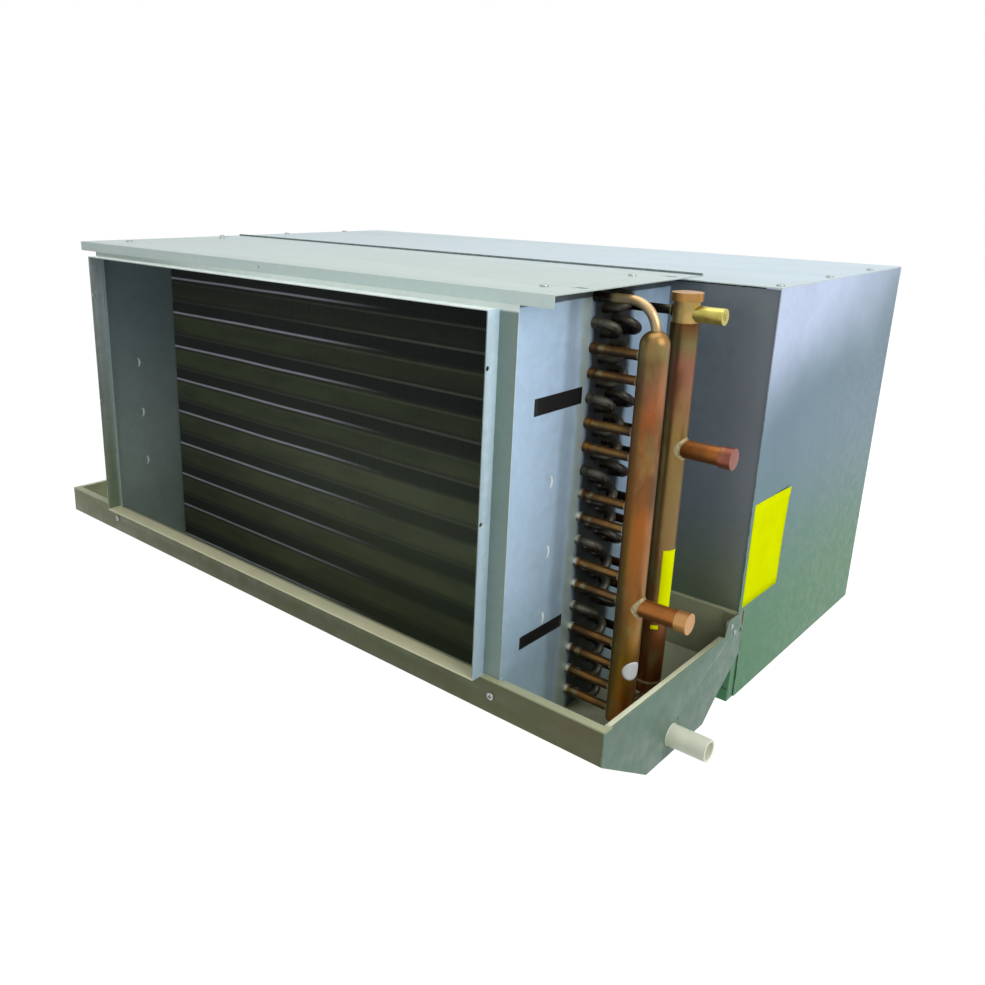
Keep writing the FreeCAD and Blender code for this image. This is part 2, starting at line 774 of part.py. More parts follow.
def headers():
    """Two headers, the two water connections with their caps, and the air vent."""
    made("front_header", front_header_body())
    rear = ("RearHeaderBottom", "RearHeaderTop")
    rod("rear_header", "z", (HEADER, OUTER_ROW), rear, "HeaderRadius")
    rod("header_neck", "z", (HEADER, OUTER_ROW), ("RearHeaderTop", "NeckTop"), "NeckRadius")
    rod("header_cap", "z", (HEADER, OUTER_ROW), ("NeckTop", "NeckTop + HeadHeight"), "HeadRadius")
    caps = []
    for name, across, up in (
        ("front", f"-{OUTER_ROW}", "FrontConnection"),
        ("rear", OUTER_ROW, "RearConnection"),
    ):
        tip = f"({HEADER} + ConnectionReach)"
        pipe = rod(f"{name}_pipe", "x", (across, up), (HEADER, tip), "ConnectionRadius")
        inside = (HEADER, f"{tip} + 1")
        bore = rod(f"{name}_bore", "x", (across, up), inside, "ConnectionRadius - ConnectionWall")
        past = (f"{up} - 2 * ConnectionRadius", f"{up} + 2 * ConnectionRadius")
        barrel = rod(f"{name}_barrel", "z", (HEADER, across), past, "HeaderRadius")
        cut(f"{name}_connection", pipe, [fused(f"{name}_saddle", [bore, barrel])])
        start = f"({tip} - CapLength)"
        whole = (start, f"{tip} + CapWall")
        cap = rod(f"{name}_cap_body", "x", (across, up), whole, "ConnectionRadius + CapWall")
        socket = rod(f"{name}_cap_socket", "x", (across, up), (f"{start} - 1", tip), "ConnectionRadius")
        caps.append(cut(f"{name}_cap", cap, [socket]))
    group("connection_caps", caps)
    centre = (OUTER_ROW, "VentHeight")
    tip = f"{HEADER} + VentReach"
    body = rod("vent_barrel", "x", centre, (HEADER, tip), "VentRadius")
    seat = rod("vent_neck", "z", (HEADER, OUTER_ROW), ("RearHeaderTop", "NeckTop"), "NeckRadius")
    hole = rod("vent_hole", "x", centre, (f"{tip} - BleedDepth", f"{tip} + 1"), "BleedRadius + BleedFit")
    cut("vent_body", body, [seat, hole])
    screw = rod("bleed_pin", "x", centre, (f"{tip} - BleedDepth", f"{tip} + BleedReach"), "BleedRadius")
    slot = box(
        "bleed_slot",
        (f"{tip} + BleedReach - BleedSlotDepth", f"{tip} + BleedReach + 1"),
        (f"{OUTER_ROW} - BleedSlot / 2", f"{OUTER_ROW} + BleedSlot / 2"),
        ("VentHeight - BleedRadius - 1", "VentHeight + BleedRadius + 1"),
    )
    cut("vent_screw", screw, [slot])


def fan_box():
    """The box behind the coil: front deck, sides, top, bottom, rear frame and filter."""
    ceiling = "FanHeight - Sheet"
    deck = folded(
        "deck_fold",
        "xy",
        [
            (f"-{INSIDE}", f"{DECK} + FoldWidth"),
            (f"-{INSIDE}", DECK),
            (INSIDE, DECK),
            (INSIDE, f"{DECK} + FoldWidth"),
        ],
        "-Sheet",
        ("Sheet", f"{ceiling} - Sheet"),
    )
    slot_end = "(BlowerAway + ScrollWidth / 2)"
    slot = box(
        "outlet_slot",
        (f"-{slot_end}", slot_end),
        ("FanFront", f"{DECK} + 2 * Sheet"),
        ("OutletBottom", "OutletTop"),
    )
    cut("fan_deck", deck, [slot])
    blank_end = "(BlowerAway - ScrollWidth / 2 - Sheet - BlankGap)"
    box(
        "outlet_blank",
        (f"-{blank_end}", blank_end),
        (f"{DECK} + Sheet", f"{DECK} + 2 * Sheet"),
        ("OutletBottom - BlankLap", "OutletTop + BlankLap"),
    )
    folded(
        "fan_bottom",
        "yz",
        [("FanFront", "FanLip"), ("FanFront", "0"), (FAN_REAR, "0"), (FAN_REAR, "FanLip")],
        "-Sheet",
        (f"-{INSIDE}", INSIDE),
    )
    lid = folded(
        "lid_fold",
        "yz",
        [("FanFront", "FanHeight"), (FAN_REAR, "FanHeight"), (FAN_REAR, "FanHeight - FanLip")],
        "Sheet",
        (f"-({HALF})", HALF),
    )
    corner_cuts = [
        box(
            f"lid_corner_{name}",
            span,
            (f"{FAN_REAR} - 2 * Sheet", f"{FAN_REAR} + 1"),
            ("FanHeight - FanLip - 1", ceiling),
        )
        for name, span in (
            ("right", (f"{INSIDE} - FoldWidth", f"{HALF} + 1")),
            ("left", (f"-({HALF}) - 1", f"FoldWidth - {INSIDE}")),
        )
    ]
    holes = shank_holes("lid_hole", "z", FAN_SCREWS, (f"{ceiling} - 1", "FanHeight + 1"))
    cut("fan_top", lid, corner_cuts + holes)
    notch = "FanFront + PanTabReach + NotchGap"
    side = [
        (notch, "0"),
        (FAN_REAR, "0"),
        (FAN_REAR, ceiling),
        ("FanFront", ceiling),
        ("FanFront", "PanRearWall + NotchGap"),
        (notch, "PanRearWall + NotchGap"),
    ]
    for name, sign in (("right", 1), ("left", -1)):
        fold = f"({INSIDE} - FoldWidth)"
        span = (fold, HALF) if sign > 0 else (f"-({HALF})", f"-{fold}")
        hollow = (f"{fold} - 1", INSIDE) if sign > 0 else (f"-{INSIDE}", f"1 - {fold}")
        blank = plate(f"wall_{name}_blank", "yz", side, span)
        inside = ("FanFront - 1", f"{FAN_REAR} - Sheet")
        foot = (f"{FAN_REAR} - 2 * Sheet", f"{FAN_REAR} + 1")
        tools = [
            box(f"wall_{name}_inside", hollow, inside, ("-1", f"{ceiling} - Sheet")),
            box(f"wall_{name}_foot", hollow, foot, ("-1", "FanLip")),
        ]
        tools += shank_holes(f"wall_{name}_hole", "z", FAN_SCREWS, (f"{ceiling} - 2 * Sheet", "FanHeight"))
        if name == "left":
            window = box(
                "terminal_window",
                (f"-({HALF}) - 1", f"1 - {INSIDE}"),
                ("FanFront + TerminalFront", "FanFront + TerminalFront + TerminalSide"),
                ("TerminalBottom", "TerminalBottom + TerminalSide"),
            )
            tools.append(window)
            past = (f"-({HALF}) - 1", f"1 - {INSIDE}")
            tools += shank_holes("cover_wall_hole", "x", COVER_SCREWS, past)
        cut(f"fan_side_{name}", blank, tools)
    whole = (f"-{INSIDE}", INSIDE)
    behind = (f"{FILTER} - Sheet", FILTER)
    head = "(ReturnBottom + ReturnHeight)"
    strips = [
        box("frame_foot", whole, behind, ("Sheet", "ReturnBottom")),
        box("frame_head", whole, behind, (head, f"{ceiling} - Sheet")),
        box("frame_right", ("ReturnWidth / 2", INSIDE), behind, ("ReturnBottom", head)),
        box("frame_left", (f"-{INSIDE}", "-ReturnWidth / 2"), behind, ("ReturnBottom", head)),
    ]
    group("return_frame", strips)
    side_limit = f"({INSIDE} - FoldWidth - FilterSide)"
    rim = box(
        "filter_blank",
        (f"-{side_limit}", side_limit),
        (FILTER, f"{FILTER} + FilterThick"),
        ("Sheet", "Sheet + FilterHeight"),
    )
    hollow = box(
        "filter_window",
        (f"FilterRim - {side_limit}", f"{side_limit} - FilterRim"),
        (f"{FILTER} - 1", f"{FILTER} + FilterThick + 1"),
        ("Sheet + FilterRim", "Sheet + FilterHeight - FilterRim"),
    )
    cut("filter_frame", rim, [hollow])
    box(
        "filter_media",
        (f"FilterRim - {side_limit}", f"{side_limit} - FilterRim"),
        (f"{FILTER} + (FilterThick - MediaThick) / 2", f"{FILTER} + (FilterThick + MediaThick) / 2"),
        ("Sheet + FilterRim", "Sheet + FilterHeight - FilterRim"),
    )


def scroll_outline(grow):
    """The spiral of a blower housing: three quarter arcs whose centres step round a square at the shaft."""
    shift = value("ScrollGrowth") / 2
    first = value("WheelRadius + ScrollGap") + shift + grow
    second = first + 2 * shift
    third = first + 4 * shift
    centre_y = value(SHAFT_Y)
    centre_z = value("ShaftHeight")
    outlet = value(f"{DECK} + Sheet")

    def point(along, up):
        return Vector(0, centre_y + along, centre_z + up)

    def arc(along, up, radius, start, end):
        places = [
            point(along + radius * math.cos(angle), up + radius * math.sin(angle))
            for angle in (start, (start + end) / 2, end)
        ]
        return Part.Arc(*places).toShape()

    lip = value("CutoffHeight") - grow
    begin = math.pi - math.asin((lip + shift) / first)
    arcs = [
        arc(shift, -shift, first, begin, 1.5 * math.pi),
        arc(shift, shift, second, 1.5 * math.pi, 2 * math.pi),
        arc(-shift, shift, third, 2 * math.pi, 2.5 * math.pi),
    ]
    nose = arcs[0].Vertexes[0].Point
    crown = arcs[2].Vertexes[-1].Point
    top = Vector(0, outlet, crown.z)
    bottom = Vector(0, outlet, nose.z)
    lines = [Part.LineSegment(*ends).toShape() for ends in ((crown, top), (top, bottom), (bottom, nose))]
    return Part.Face(Part.Wire(Part.sortEdges(arcs + lines)[0]))


def blowers():
    """Two spiral housings with two inlet cheeks each, and the two wheels inside them."""
    wall = value("Sheet")
    width = value("ScrollWidth")
    outer = scroll_outline(wall)
    inner = scroll_outline(0)
    lip = value("InletLip")
    inlet = value("InletRadius")
    axis = Vector(0, value(SHAFT_Y), value("ShaftHeight"))
    for name, middle in (("right", value("BlowerAway")), ("left", -value("BlowerAway"))):
        wrap = outer.cut(inner).extrude(Vector(width, 0, 0))
        made(f"blower_wrap_{name}", wrap, Vector(middle - width / 2, 0, 0))
        for side, sign in (("outer", 1 if middle > 0 else -1), ("inner", -1 if middle > 0 else 1)):
            cheek = outer.extrude(Vector(sign * wall, 0, 0))
            hole = Part.makeCylinder(inlet + lip, wall + 2, axis - Vector(sign, 0, 0), Vector(sign, 0, 0))
            ring = inlet_ring(inlet, lip, wall)
            ring.Placement = Placement(axis, Rotation(Vector(0, 0, 1), 90 - 90 * sign))
            place = Vector(middle + sign * width / 2, 0, 0)
            made(f"blower_cheek_{name}_{side}", cheek.cut(hole).fuse(ring), place)
        made(f"blower_wheel_{name}", wheel_frame(), axis + Vector(middle, 0, 0))
        made(f"blower_blades_{name}", wheel_blades(), axis + Vector(middle, 0, 0))


def inlet_ring(radius, lip, wall):
    """The bell mouth of an inlet: a quarter round turned out of the cheek, from the mouth to the throat."""
    near = 1 - math.sqrt(0.5)
    far = math.sqrt(0.5)
    section = Part.Wire(
        [
            Part.LineSegment(Vector(0, radius + lip + 1, 0), Vector(0, radius + lip, 0)).toShape(),
            Part.Arc(
                Vector(0, radius + lip, 0),
                Vector(lip * near, radius + lip - lip * far, 0),
                Vector(lip, radius, 0),
            ).toShape(),
            Part.LineSegment(Vector(lip, radius, 0), Vector(lip, radius + wall, 0)).toShape(),
            Part.Arc(
                Vector(lip, radius + wall, 0),
                Vector(wall + (lip - wall) * near, radius + lip - (lip - wall) * far, 0),
                Vector(wall, radius + lip, 0),
            ).toShape(),
            Part.LineSegment(Vector(wall, radius + lip, 0), Vector(wall, radius + lip + 1, 0)).toShape(),
            Part.LineSegment(Vector(wall, radius + lip + 1, 0), Vector(0, radius + lip + 1, 0)).toShape(),
        ]
    )
    return Part.Face(section).revolve(Vector(), Vector(1, 0, 0), 360)


def wheel_frame():
    """The centre disc of a double inlet wheel with its bored hub, and the two rings at its ends."""
    outer = value("WheelRadius")
    width = value("WheelWidth")
    hub_length = value("HubLength")
    along = Vector(1, 0, 0)
    hub_start = Vector(-hub_length / 2, 0, 0)
    ring = Part.makeCylinder(outer, value("RingWidth"), Vector(), along)
    ring = ring.cut(Part.makeCylinder(value("WheelRadius - RingDepth"), value("RingWidth"), Vector(), along))
    rings = [ring.translated(Vector(place, 0, 0)) for place in (-width / 2, width / 2 - value("RingWidth"))]
    disc = Part.makeCylinder(
        value("WheelRadius - DiscInset"), value("DiscThick"), Vector(-value("DiscThick") / 2, 0, 0), along
    )
    hub = Part.makeCylinder(value("HubRadius"), hub_length, hub_start, along)
    bore = Part.makeCylinder(value("ShaftRadius"), hub_length, hub_start, along)
    return Part.makeCompound([disc.fuse(hub).cut(bore)] + rings)


def wheel_blades():
    """The forward curved blades of a wheel, from the centre disc to the ring on either side."""
    lean = value("BladeSweep")
    count = int(value("BladeCount"))

    def curve(shift):
        """One side of a blade's section, from its inner edge forward to its outer edge."""
        start = Vector(0, -shift, value("BladeInner"))
        end = Vector(0, lean - shift, value("WheelRadius - BladeInset"))
        middle = (start + end) * 0.5 - Vector(0, value("BladeBulge"), 0)
        return Part.Arc(start, middle, end).toShape()

    front = curve(0)
    back = curve(value("BladeThick"))
    caps = [
        Part.LineSegment(front.Vertexes[index].Point, back.Vertexes[index].Point).toShape()
        for index in (0, 1)
    ]
    section = Part.Face(Part.Wire(Part.sortEdges([front, back] + caps)[0]))
    length = value("WheelWidth / 2 - RingWidth - DiscThick / 2")
    blades = []
    for start in (value("DiscThick / 2"), value("RingWidth - WheelWidth / 2")):
        blade = section.extrude(Vector(length, 0, 0)).translated(Vector(start, 0, 0))
        for index in range(count):
            copy = blade.copy()
            copy.rotate(Vector(), Vector(1, 0, 0), index * 360 / count)
            blades.append(copy)
    return Part.makeCompound(blades)


def motor():
    """The double shaft motor between the blowers, in its cradle, with its capacitor."""
    centre = (SHAFT_Y, "ShaftHeight")
    half = "MotorLength / 2"
    shell = rod("shell_outside", "x", centre, (f"-({half})", half), "MotorRadius")
    cavity = rod("shell_inside", "x", centre, (f"-({half}) - 1", f"{half} + 1"), "MotorRadius - MotorWall")
    cut("motor_shell", shell, [cavity])
    stack = "StatorLength / 2"
    stator = rod("stator_outside", "x", centre, (f"-({stack})", stack), "MotorRadius - MotorWall")
    gap = rod("stator_inside", "x", centre, (f"-({stack}) - 1", f"{stack} + 1"), "StatorInner")
    cut("stator_core", stator, [gap])
    core = rod("rotor_outside", "x", centre, (f"-({stack})", stack), "StatorInner - AirGap")
    core_bore = rod("rotor_bore", "x", centre, (f"-({stack}) - 1", f"{stack} + 1"), "ShaftRadius")
    cut("rotor_core", core, [core_bore])
    tip = "(BlowerAway + HubLength / 2 + ShaftPast)"
    rod("motor_shaft", "x", centre, (f"-{tip}", tip), "ShaftRadius")
    bells, bearings, rings = [], [], []
    for name, sign in (("right", ""), ("left", "-")):

        def span(low, high):
            return tuple(sorted((f"{sign}({low})", f"{sign}({high})"), key=value))

        bell = fused(
            f"bell_{name}_cast",
            [
                rod(f"bell_{name}_plate", "x", centre, span(half, BELL), "MotorRadius + BellLip"),
                rod(f"bell_{name}_hub", "x", centre, span(half, HUB_END), "BellHub"),
            ],
        )
        seat = f"{HUB_END} - BearingLength"
        pocket = rod(f"bell_{name}_seat", "x", centre, span(seat, f"{HUB_END} + 1"), "BearingRadius")
        eye = rod(f"bell_{name}_eye", "x", centre, span(f"{half} - 1", HUB_END), "ShaftRadius + ShaftClear")
        bells.append(cut(f"bell_{name}", bell, [fused(f"bell_{name}_bore", [pocket, eye])]))
        outer = rod(f"bearing_{name}_outside", "x", centre, span(seat, HUB_END), "BearingRadius")
        past = span(f"{seat} - 1", f"{HUB_END} + 1")
        inner = rod(f"bearing_{name}_bore", "x", centre, past, "ShaftRadius + BleedFit")
        bearings.append(cut(f"bearing_{name}", outer, [inner]))
        length = span(f"{HUB_END} - RubberLength", HUB_END)
        rubber = rod(f"rubber_{name}_outside", "x", centre, length, "RubberRadius")
        hub = rod(f"rubber_{name}_bore", "x", centre, span(f"{BELL} - 1", f"{HUB_END} + 1"), "BellHub")
        rings.append(cut(f"rubber_{name}", rubber, [hub]))
    group("motor_end_bells", bells)
    group("motor_bearings", bearings)
    group("motor_rubber_rings", rings)
    floor = "(Sheet + CradleThick)"
    middle = f"({HUB_END} - RubberLength / 2)"
    across = (f"{SHAFT_Y} - CradleHalf", f"{SHAFT_Y} + CradleHalf")
    foot = f"{middle} + CradleFoot"
    base = box("cradle_base", (f"-({foot})", foot), across, ("Sheet", floor))
    posts, seats, clamps = [base], [], []
    for name, sign in (("right", ""), ("left", "-")):
        low, high = f"{sign}{middle} - CradleThick / 2", f"{sign}{middle} + CradleThick / 2"
        posts.append(box(f"cradle_post_{name}", (low, high), across, (floor, "ShaftHeight")))
        seats.append(rod(f"cradle_seat_{name}", "x", centre, (f"{low} - 1", f"{high} + 1"), "RubberRadius"))
        arch = rod(f"clamp_{name}_outside", "x", centre, (low, high), "CradleHalf")
        throat = rod(f"clamp_{name}_inside", "x", centre, (f"{low} - 1", f"{high} + 1"), "RubberRadius")
        lower = box(
            f"clamp_{name}_lower",
            (f"{low} - 1", f"{high} + 1"),
            (f"{SHAFT_Y} - CradleHalf - 1", f"{SHAFT_Y} + CradleHalf + 1"),
            ("ShaftHeight - CradleHalf - 1", "ShaftHeight"),
        )
        clamps.append(cut(f"clamp_{name}", arch, [fused(f"clamp_{name}_tool", [throat, lower])]))
    cut("motor_cradle", fused("cradle_sheet", posts), seats)
    group("motor_clamps", clamps)
    bottle = (SHAFT_Y, f"{floor} + CapacitorRadius")
    rod("run_capacitor", "x", bottle, ("-CapacitorLength / 2", "CapacitorLength / 2"), "CapacitorRadius")


def terminals():
    """The terminal box let into the left side, with its cover and cable bushing."""
    wall = f"-{INSIDE}"
    front, low = "(FanFront + TerminalFront)", "TerminalBottom"
    rear, high = "(FanFront + TerminalFront + TerminalSide)", "(TerminalBottom + TerminalSide)"
    shell = box(
        "terminal_outside",
        (wall, f"{wall} + TerminalDepth"),
        (f"{front} - Sheet", f"{rear} + Sheet"),
        (f"{low} - Sheet", f"{high} + Sheet"),
    )
    inside = (f"{wall} - 1", f"{wall} + TerminalDepth - Sheet")
    hollow = box("terminal_inside", inside, (front, rear), (low, high))
    cut("terminal_box", shell, [hollow])
    outside = f"-({HALF})"
    cover = box(
        "cover_sheet",
        (f"{outside} - Sheet", outside),
        (f"{front} - CoverLap", f"{rear} + CoverLap"),
        (f"{low} - CoverLap", f"{high} + CoverLap"),
    )
    past = (f"{outside} - Sheet - 1", f"{outside} + 1")
    holes = shank_holes("cover_hole", "x", COVER_SCREWS, past)
    middle = (f"({front} + {rear}) / 2", f"{low} + BushingRise")
    holes.append(rod("cover_bushing_hole", "x", middle, past, "BushingRadius"))
    cut("terminal_cover", cover, holes)
    rim = f"{outside} - Sheet - BushingRimDepth"
    stem = f"{outside} + BushingStem"
    body = fused(
        "bushing_body",
        [
            rod("bushing_rim", "x", middle, (rim, f"{outside} - Sheet"), "BushingRadius + BushingRim"),
            rod("bushing_stem", "x", middle, (rim, stem), "BushingRadius"),
        ],
    )
    bore = rod("bushing_hole", "x", middle, (f"{rim} - 1", f"{stem} + 1"), "BushingBore")
    cut("cable_bushing", body, [bore])


def fastener(head, height, shank, length):
    """A low round head on its seat at the origin, with the shank pointing down."""
    top = Part.makeCylinder(head, height)
    rim = [edge for edge in top.Edges if edge.BoundBox.ZMin > height / 2 and edge.Closed]
    rounded = top.makeFillet(height * 0.6, rim)
    return rounded.fuse(Part.makeCylinder(shank, length, Vector(), Vector(0, 0, -1)))


def fasteners():
    """All panel screws in one set and all pan rivets in another."""
    screw = fastener(*(value(name) for name in ("ScrewHead", "ScrewHeadHeight", "ScrewShank", "ScrewLength")))
    screws = []
    for places, top in ((COIL_SCREWS, "CasingHeight"), (FAN_SCREWS, "FanHeight")):
        for across, along in places:
            screws.append(Placement(Vector(value(across), value(along), value(top)), Rotation()))
    for across, up in PAN_SCREWS:
        turn = Rotation(Vector(1, 0, 0), 90)
        screws.append(Placement(Vector(value(across), -value("PanFront"), value(up)), turn))
    for along, up in COVER_SCREWS:
        turn = Rotation(Vector(0, 1, 0), -90)
        screws.append(Placement(Vector(-value(f"{HALF} + Sheet"), value(along), value(up)), turn))
    made("panel_screws", Part.makeCompound([screw.transformed(place.toMatrix()) for place in screws]))
    grip = value("2 * Sheet + RivetHeadHeight")
    rivet = fastener(*(value(name) for name in ("RivetHead", "RivetHeadHeight", "RivetShank")), grip)
    rivets = []
    for along, up in RIVETS:
        for side in (1, -1):
            turn = Rotation(Vector(0, 1, 0), side * 90)
            rivets.append(Placement(Vector(side * value(HALF), value(along), value(up)), turn))
    made("pan_rivets", Part.makeCompound([rivet.transformed(place.toMatrix()) for place in rivets]))


NODES = [
    "drain_pan_tray", "pan_end_right", "pan_end_left", "pan_angles", "pan_rivets", "drain_stub",
    "coil_side_right", "coil_side_left", "coil_top_panel", "coil_top_channel", "coil_feet", "duct_collar",
    "coil_fin_block", "return_bends_right", "return_bends_left", "front_stubs", "rear_stubs", "feed_tubes",
    "front_header", "rear_header", "header_neck", "header_cap", "front_connection", "rear_connection",
    "connection_caps", "vent_body", "vent_screw",
    "fan_deck", "outlet_blank", "fan_bottom", "fan_top", "fan_side_right", "fan_side_left", "return_frame",
    "filter_frame", "filter_media",
    "blower_wrap_right", "blower_wrap_left", "blower_cheek_right_outer", "blower_cheek_right_inner",
    "blower_cheek_left_outer", "blower_cheek_left_inner", "blower_wheel_right", "blower_wheel_left",
    "blower_blades_right", "blower_blades_left",
    "motor_shell", "stator_core", "rotor_core", "motor_shaft", "motor_end_bells", "motor_bearings",
    "motor_rubber_rings", "motor_cradle", "motor_clamps", "run_capacitor",
    "terminal_box", "terminal_cover", "cable_bushing", "panel_screws",
]

drain_pan()
coil_casing()
coil()
headers()
fan_box()
blowers()
motor()
terminals()
fasteners()
doc.recompute()

for item in doc.Objects:
    if "Invalid" in item.State or "Error" in item.State:
        raise RuntimeError(f"{item.Label} is {item.State}")
os.makedirs("parts", exist_ok=True)
for name in NODES:
    piece = doc.getObject(name)
    if piece.Shape.isNull() or not piece.Shape.isValid():
        raise RuntimeError(f"{name} has no valid shape")
    piece.Shape.exportStep(f"parts/{name}.step")
    bounds = piece.Shape.BoundBox
    corners = " ".join(
        f"{low:.1f}..{high:.1f}"
        for low, high in ((bounds.XMin, bounds.XMax), (bounds.YMin, bounds.YMax), (bounds.ZMin, bounds.ZMax))
    )
    print(f"{name}: {len(piece.Shape.Solids)} solids, {piece.Shape.Volume / 1000:.1f} cm3, {corners}")
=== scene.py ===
"""Dresses the marine fan coil unit: sheet metal, finned coil, copper headers, labels, filter and studio."""

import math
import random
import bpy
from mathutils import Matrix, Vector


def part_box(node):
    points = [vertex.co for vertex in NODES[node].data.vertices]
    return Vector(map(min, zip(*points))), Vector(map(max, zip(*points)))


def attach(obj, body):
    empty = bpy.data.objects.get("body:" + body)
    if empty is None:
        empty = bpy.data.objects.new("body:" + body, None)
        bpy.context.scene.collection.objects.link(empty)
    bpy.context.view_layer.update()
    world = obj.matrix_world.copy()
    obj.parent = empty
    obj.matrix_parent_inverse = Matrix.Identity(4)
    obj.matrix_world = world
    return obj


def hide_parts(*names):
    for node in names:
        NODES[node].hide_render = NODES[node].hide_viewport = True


bl_info = {
    "name": "Fan Coil Unit Finish",
    "version": (1, 0, 0),
    "blender": (4, 5, 0),
    "location": "View3D > Sidebar > Fan Coil",
    "description": "Gives the fan coil unit its folded sheet, fins, brazed joints, labels and studio",
    "category": "Object",
}

import bmesh
import bpy
from bpy.props import FloatProperty, FloatVectorProperty, IntProperty, PointerProperty
from mathutils import Matrix, Vector, noise

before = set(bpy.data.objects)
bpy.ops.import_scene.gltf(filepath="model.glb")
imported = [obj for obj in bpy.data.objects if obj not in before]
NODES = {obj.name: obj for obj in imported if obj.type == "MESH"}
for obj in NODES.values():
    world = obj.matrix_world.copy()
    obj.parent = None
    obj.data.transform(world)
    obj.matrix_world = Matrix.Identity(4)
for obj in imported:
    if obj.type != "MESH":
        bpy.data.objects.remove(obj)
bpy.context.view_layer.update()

MM = 0.001
SHEET = 1.2 * MM
CHASSIS = "chassis"

# Largest turns of an edge, in radians, that are shaded round, and the distance at which two corners are one
ROUND = 1.0
ROUNDER = 1.2
SAME_POINT = 1e-6

# Places that pieces share, read from the frame
PLATE_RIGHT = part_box("coil_side_right")[1].x
PLATE_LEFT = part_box("coil_side_left")[0].x + SHEET
FIN_LOW, FIN_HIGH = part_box("coil_fin_block")
HEADER_LOW, HEADER_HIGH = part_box("front_header")
HEADER_X = (HEADER_LOW.x + HEADER_HIGH.x) / 2
HEADER_RADIUS = (HEADER_HIGH.x - HEADER_LOW.x) / 2
FRONT_ROW = (HEADER_LOW.y + HEADER_HIGH.y) / 2
FAN_LOW, FAN_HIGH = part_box("fan_side_right")
PAN_LOW, PAN_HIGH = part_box("drain_pan_tray")
PANEL_LOW, PANEL_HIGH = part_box("coil_top_panel")
COLLAR_LOW, COLLAR_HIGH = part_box("duct_collar")
COLLAR_LEFT_FLANGE = 9 * MM
COLLAR_RIGHT_FLANGE = 21 * MM
COLLAR_WALL = COLLAR_LOW.x + COLLAR_LEFT_FLANGE + SHEET
PAN_RIM = 93 * MM

# Where the tones of the sheets turn: their lowest and highest place, and the seam between the two tops
TONE_LOW = 0.1
TONE_HIGH = 0.45
SEAM = 0.1235

# The coil's own pattern: eighteen tubes high, four rows deep, thirteen circuits
TUBES_HIGH = 18
ROWS = 4
TUBE_RADIUS = 4.76 * MM
TUBE_PITCH = (FIN_HIGH.z - FIN_LOW.z) / TUBES_HIGH
ROW_PITCH = (FIN_HIGH.y - FIN_LOW.y) / ROWS
LOOPED_LEVELS = range(1, TUBES_HIGH - 4, 3)


def srgb(code):
    """The linear colour of a hexadecimal colour code."""
    parts = [int(code[index : index + 2], 16) / 255 for index in (0, 2, 4)]
    return tuple(part / 12.92 if part <= 0.04045 else ((part + 0.055) / 1.055) ** 2.4 for part in parts)


def colour(name, description, code):
    """A colour property with its default as a colour code."""
    return FloatVectorProperty(
        name=name, description=description, subtype="COLOR", size=3, min=0, max=1, default=srgb(code)
    )


def length(name, description, default):
    """A length property in metres."""
    return FloatProperty(name=name, description=description, unit="LENGTH", precision=5, default=default)


def angle(name, description, default):
    """An angle property in radians."""
    return FloatProperty(name=name, description=description, subtype="ANGLE", default=default)


class SheetLook(bpy.types.PropertyGroup):
    """Colours and edge size of the sheet metal."""

    fold_radius: length("Fold radius", "Rounding of the sheet's edges and folds", 0.45 * MM)
    top: colour("Top", "Zinc coat of the top panels", "bac9c3")
    top_rear: colour("Top rear", "Bluer zinc of the fan box's top", "c3d5de")
    # Painted light: the top panel's front fold is paler than its top
    fold: colour("Fold", "Front fold of the top panel", "d4e6e1")
    collar: colour("Collar", "Zinc coat of the collar", "b2bfba")
    collar_front: colour("Collar front", "Shaded front faces of the collar", "7d928a")
    # Painted light: the collar's side towards the headers is much paler
    collar_side: colour("Collar side", "Collar's side towards the headers", "dbf2ff")
    # Painted light: the pale khaki of what looks up in the collar and of the strip in its mouth, lightened where it
    # lies in shade
    collar_lit_floor: colour("Collar floor", "Dusty floor of the collar", "fffbd0")
    side: colour("Side plate", "Zinc coat of the coil's side plates", "bbd6f0")
    side_low: colour("Side plate foot", "Tone of the side plates near the pan", "a6c1d4")
    # Painted shade: dark round and above the tubes on the side plate and under the top panel's edge; the copper uses
    # it too
    painted_shade: colour("Soot", "Flux soot on the side plate round the tubes", "16140f")
    # Painted light: the fan box's sides are paler near the top
    fan_top: colour("Fan side top", "Fan box's sides near the top", "c8d6f2")
    fan_side: colour("Fan side", "Zinc coat of the fan box's sides", "6b8796")
    # Painted reflection: the green of the floor low on the fan box's sides and on the deck
    floor_reflection: colour("Fan side foot", "Tone of the fan box's sides near the floor", "3c7a50")
    # Painted shade: the deck is darker than the other zinc, standing in for the shade of its recess
    deck: colour("Deck", "Zinc coat of the deck between coil and fan box", "757f86")
    deck_low: colour("Deck foot", "Tone of the deck near the pan", "77846c")
    inner: colour("Inside", "Zinc coat of the inner faces", "7d868c")
    wall: colour("Spigot wall", "Zinc coat of the casing's left wall", "92a4aa")
    pan: colour("Pan", "Coating of the drain pan's outside", "5a603c")
    # Painted light: the pan's inside is lightened where it lies in shade
    pan_inside: colour("Pan inside", "Coating of the drain pan's inside", "f6f8d6")
    pan_rim: colour("Pan rim", "Pale rubbed rim of the pan", "b6ba92")
    pan_end: colour("Pan end", "Coating of the pan's end plates", "647f70")
    stain: colour("Stain", "Flux and water stains", "6b5138")


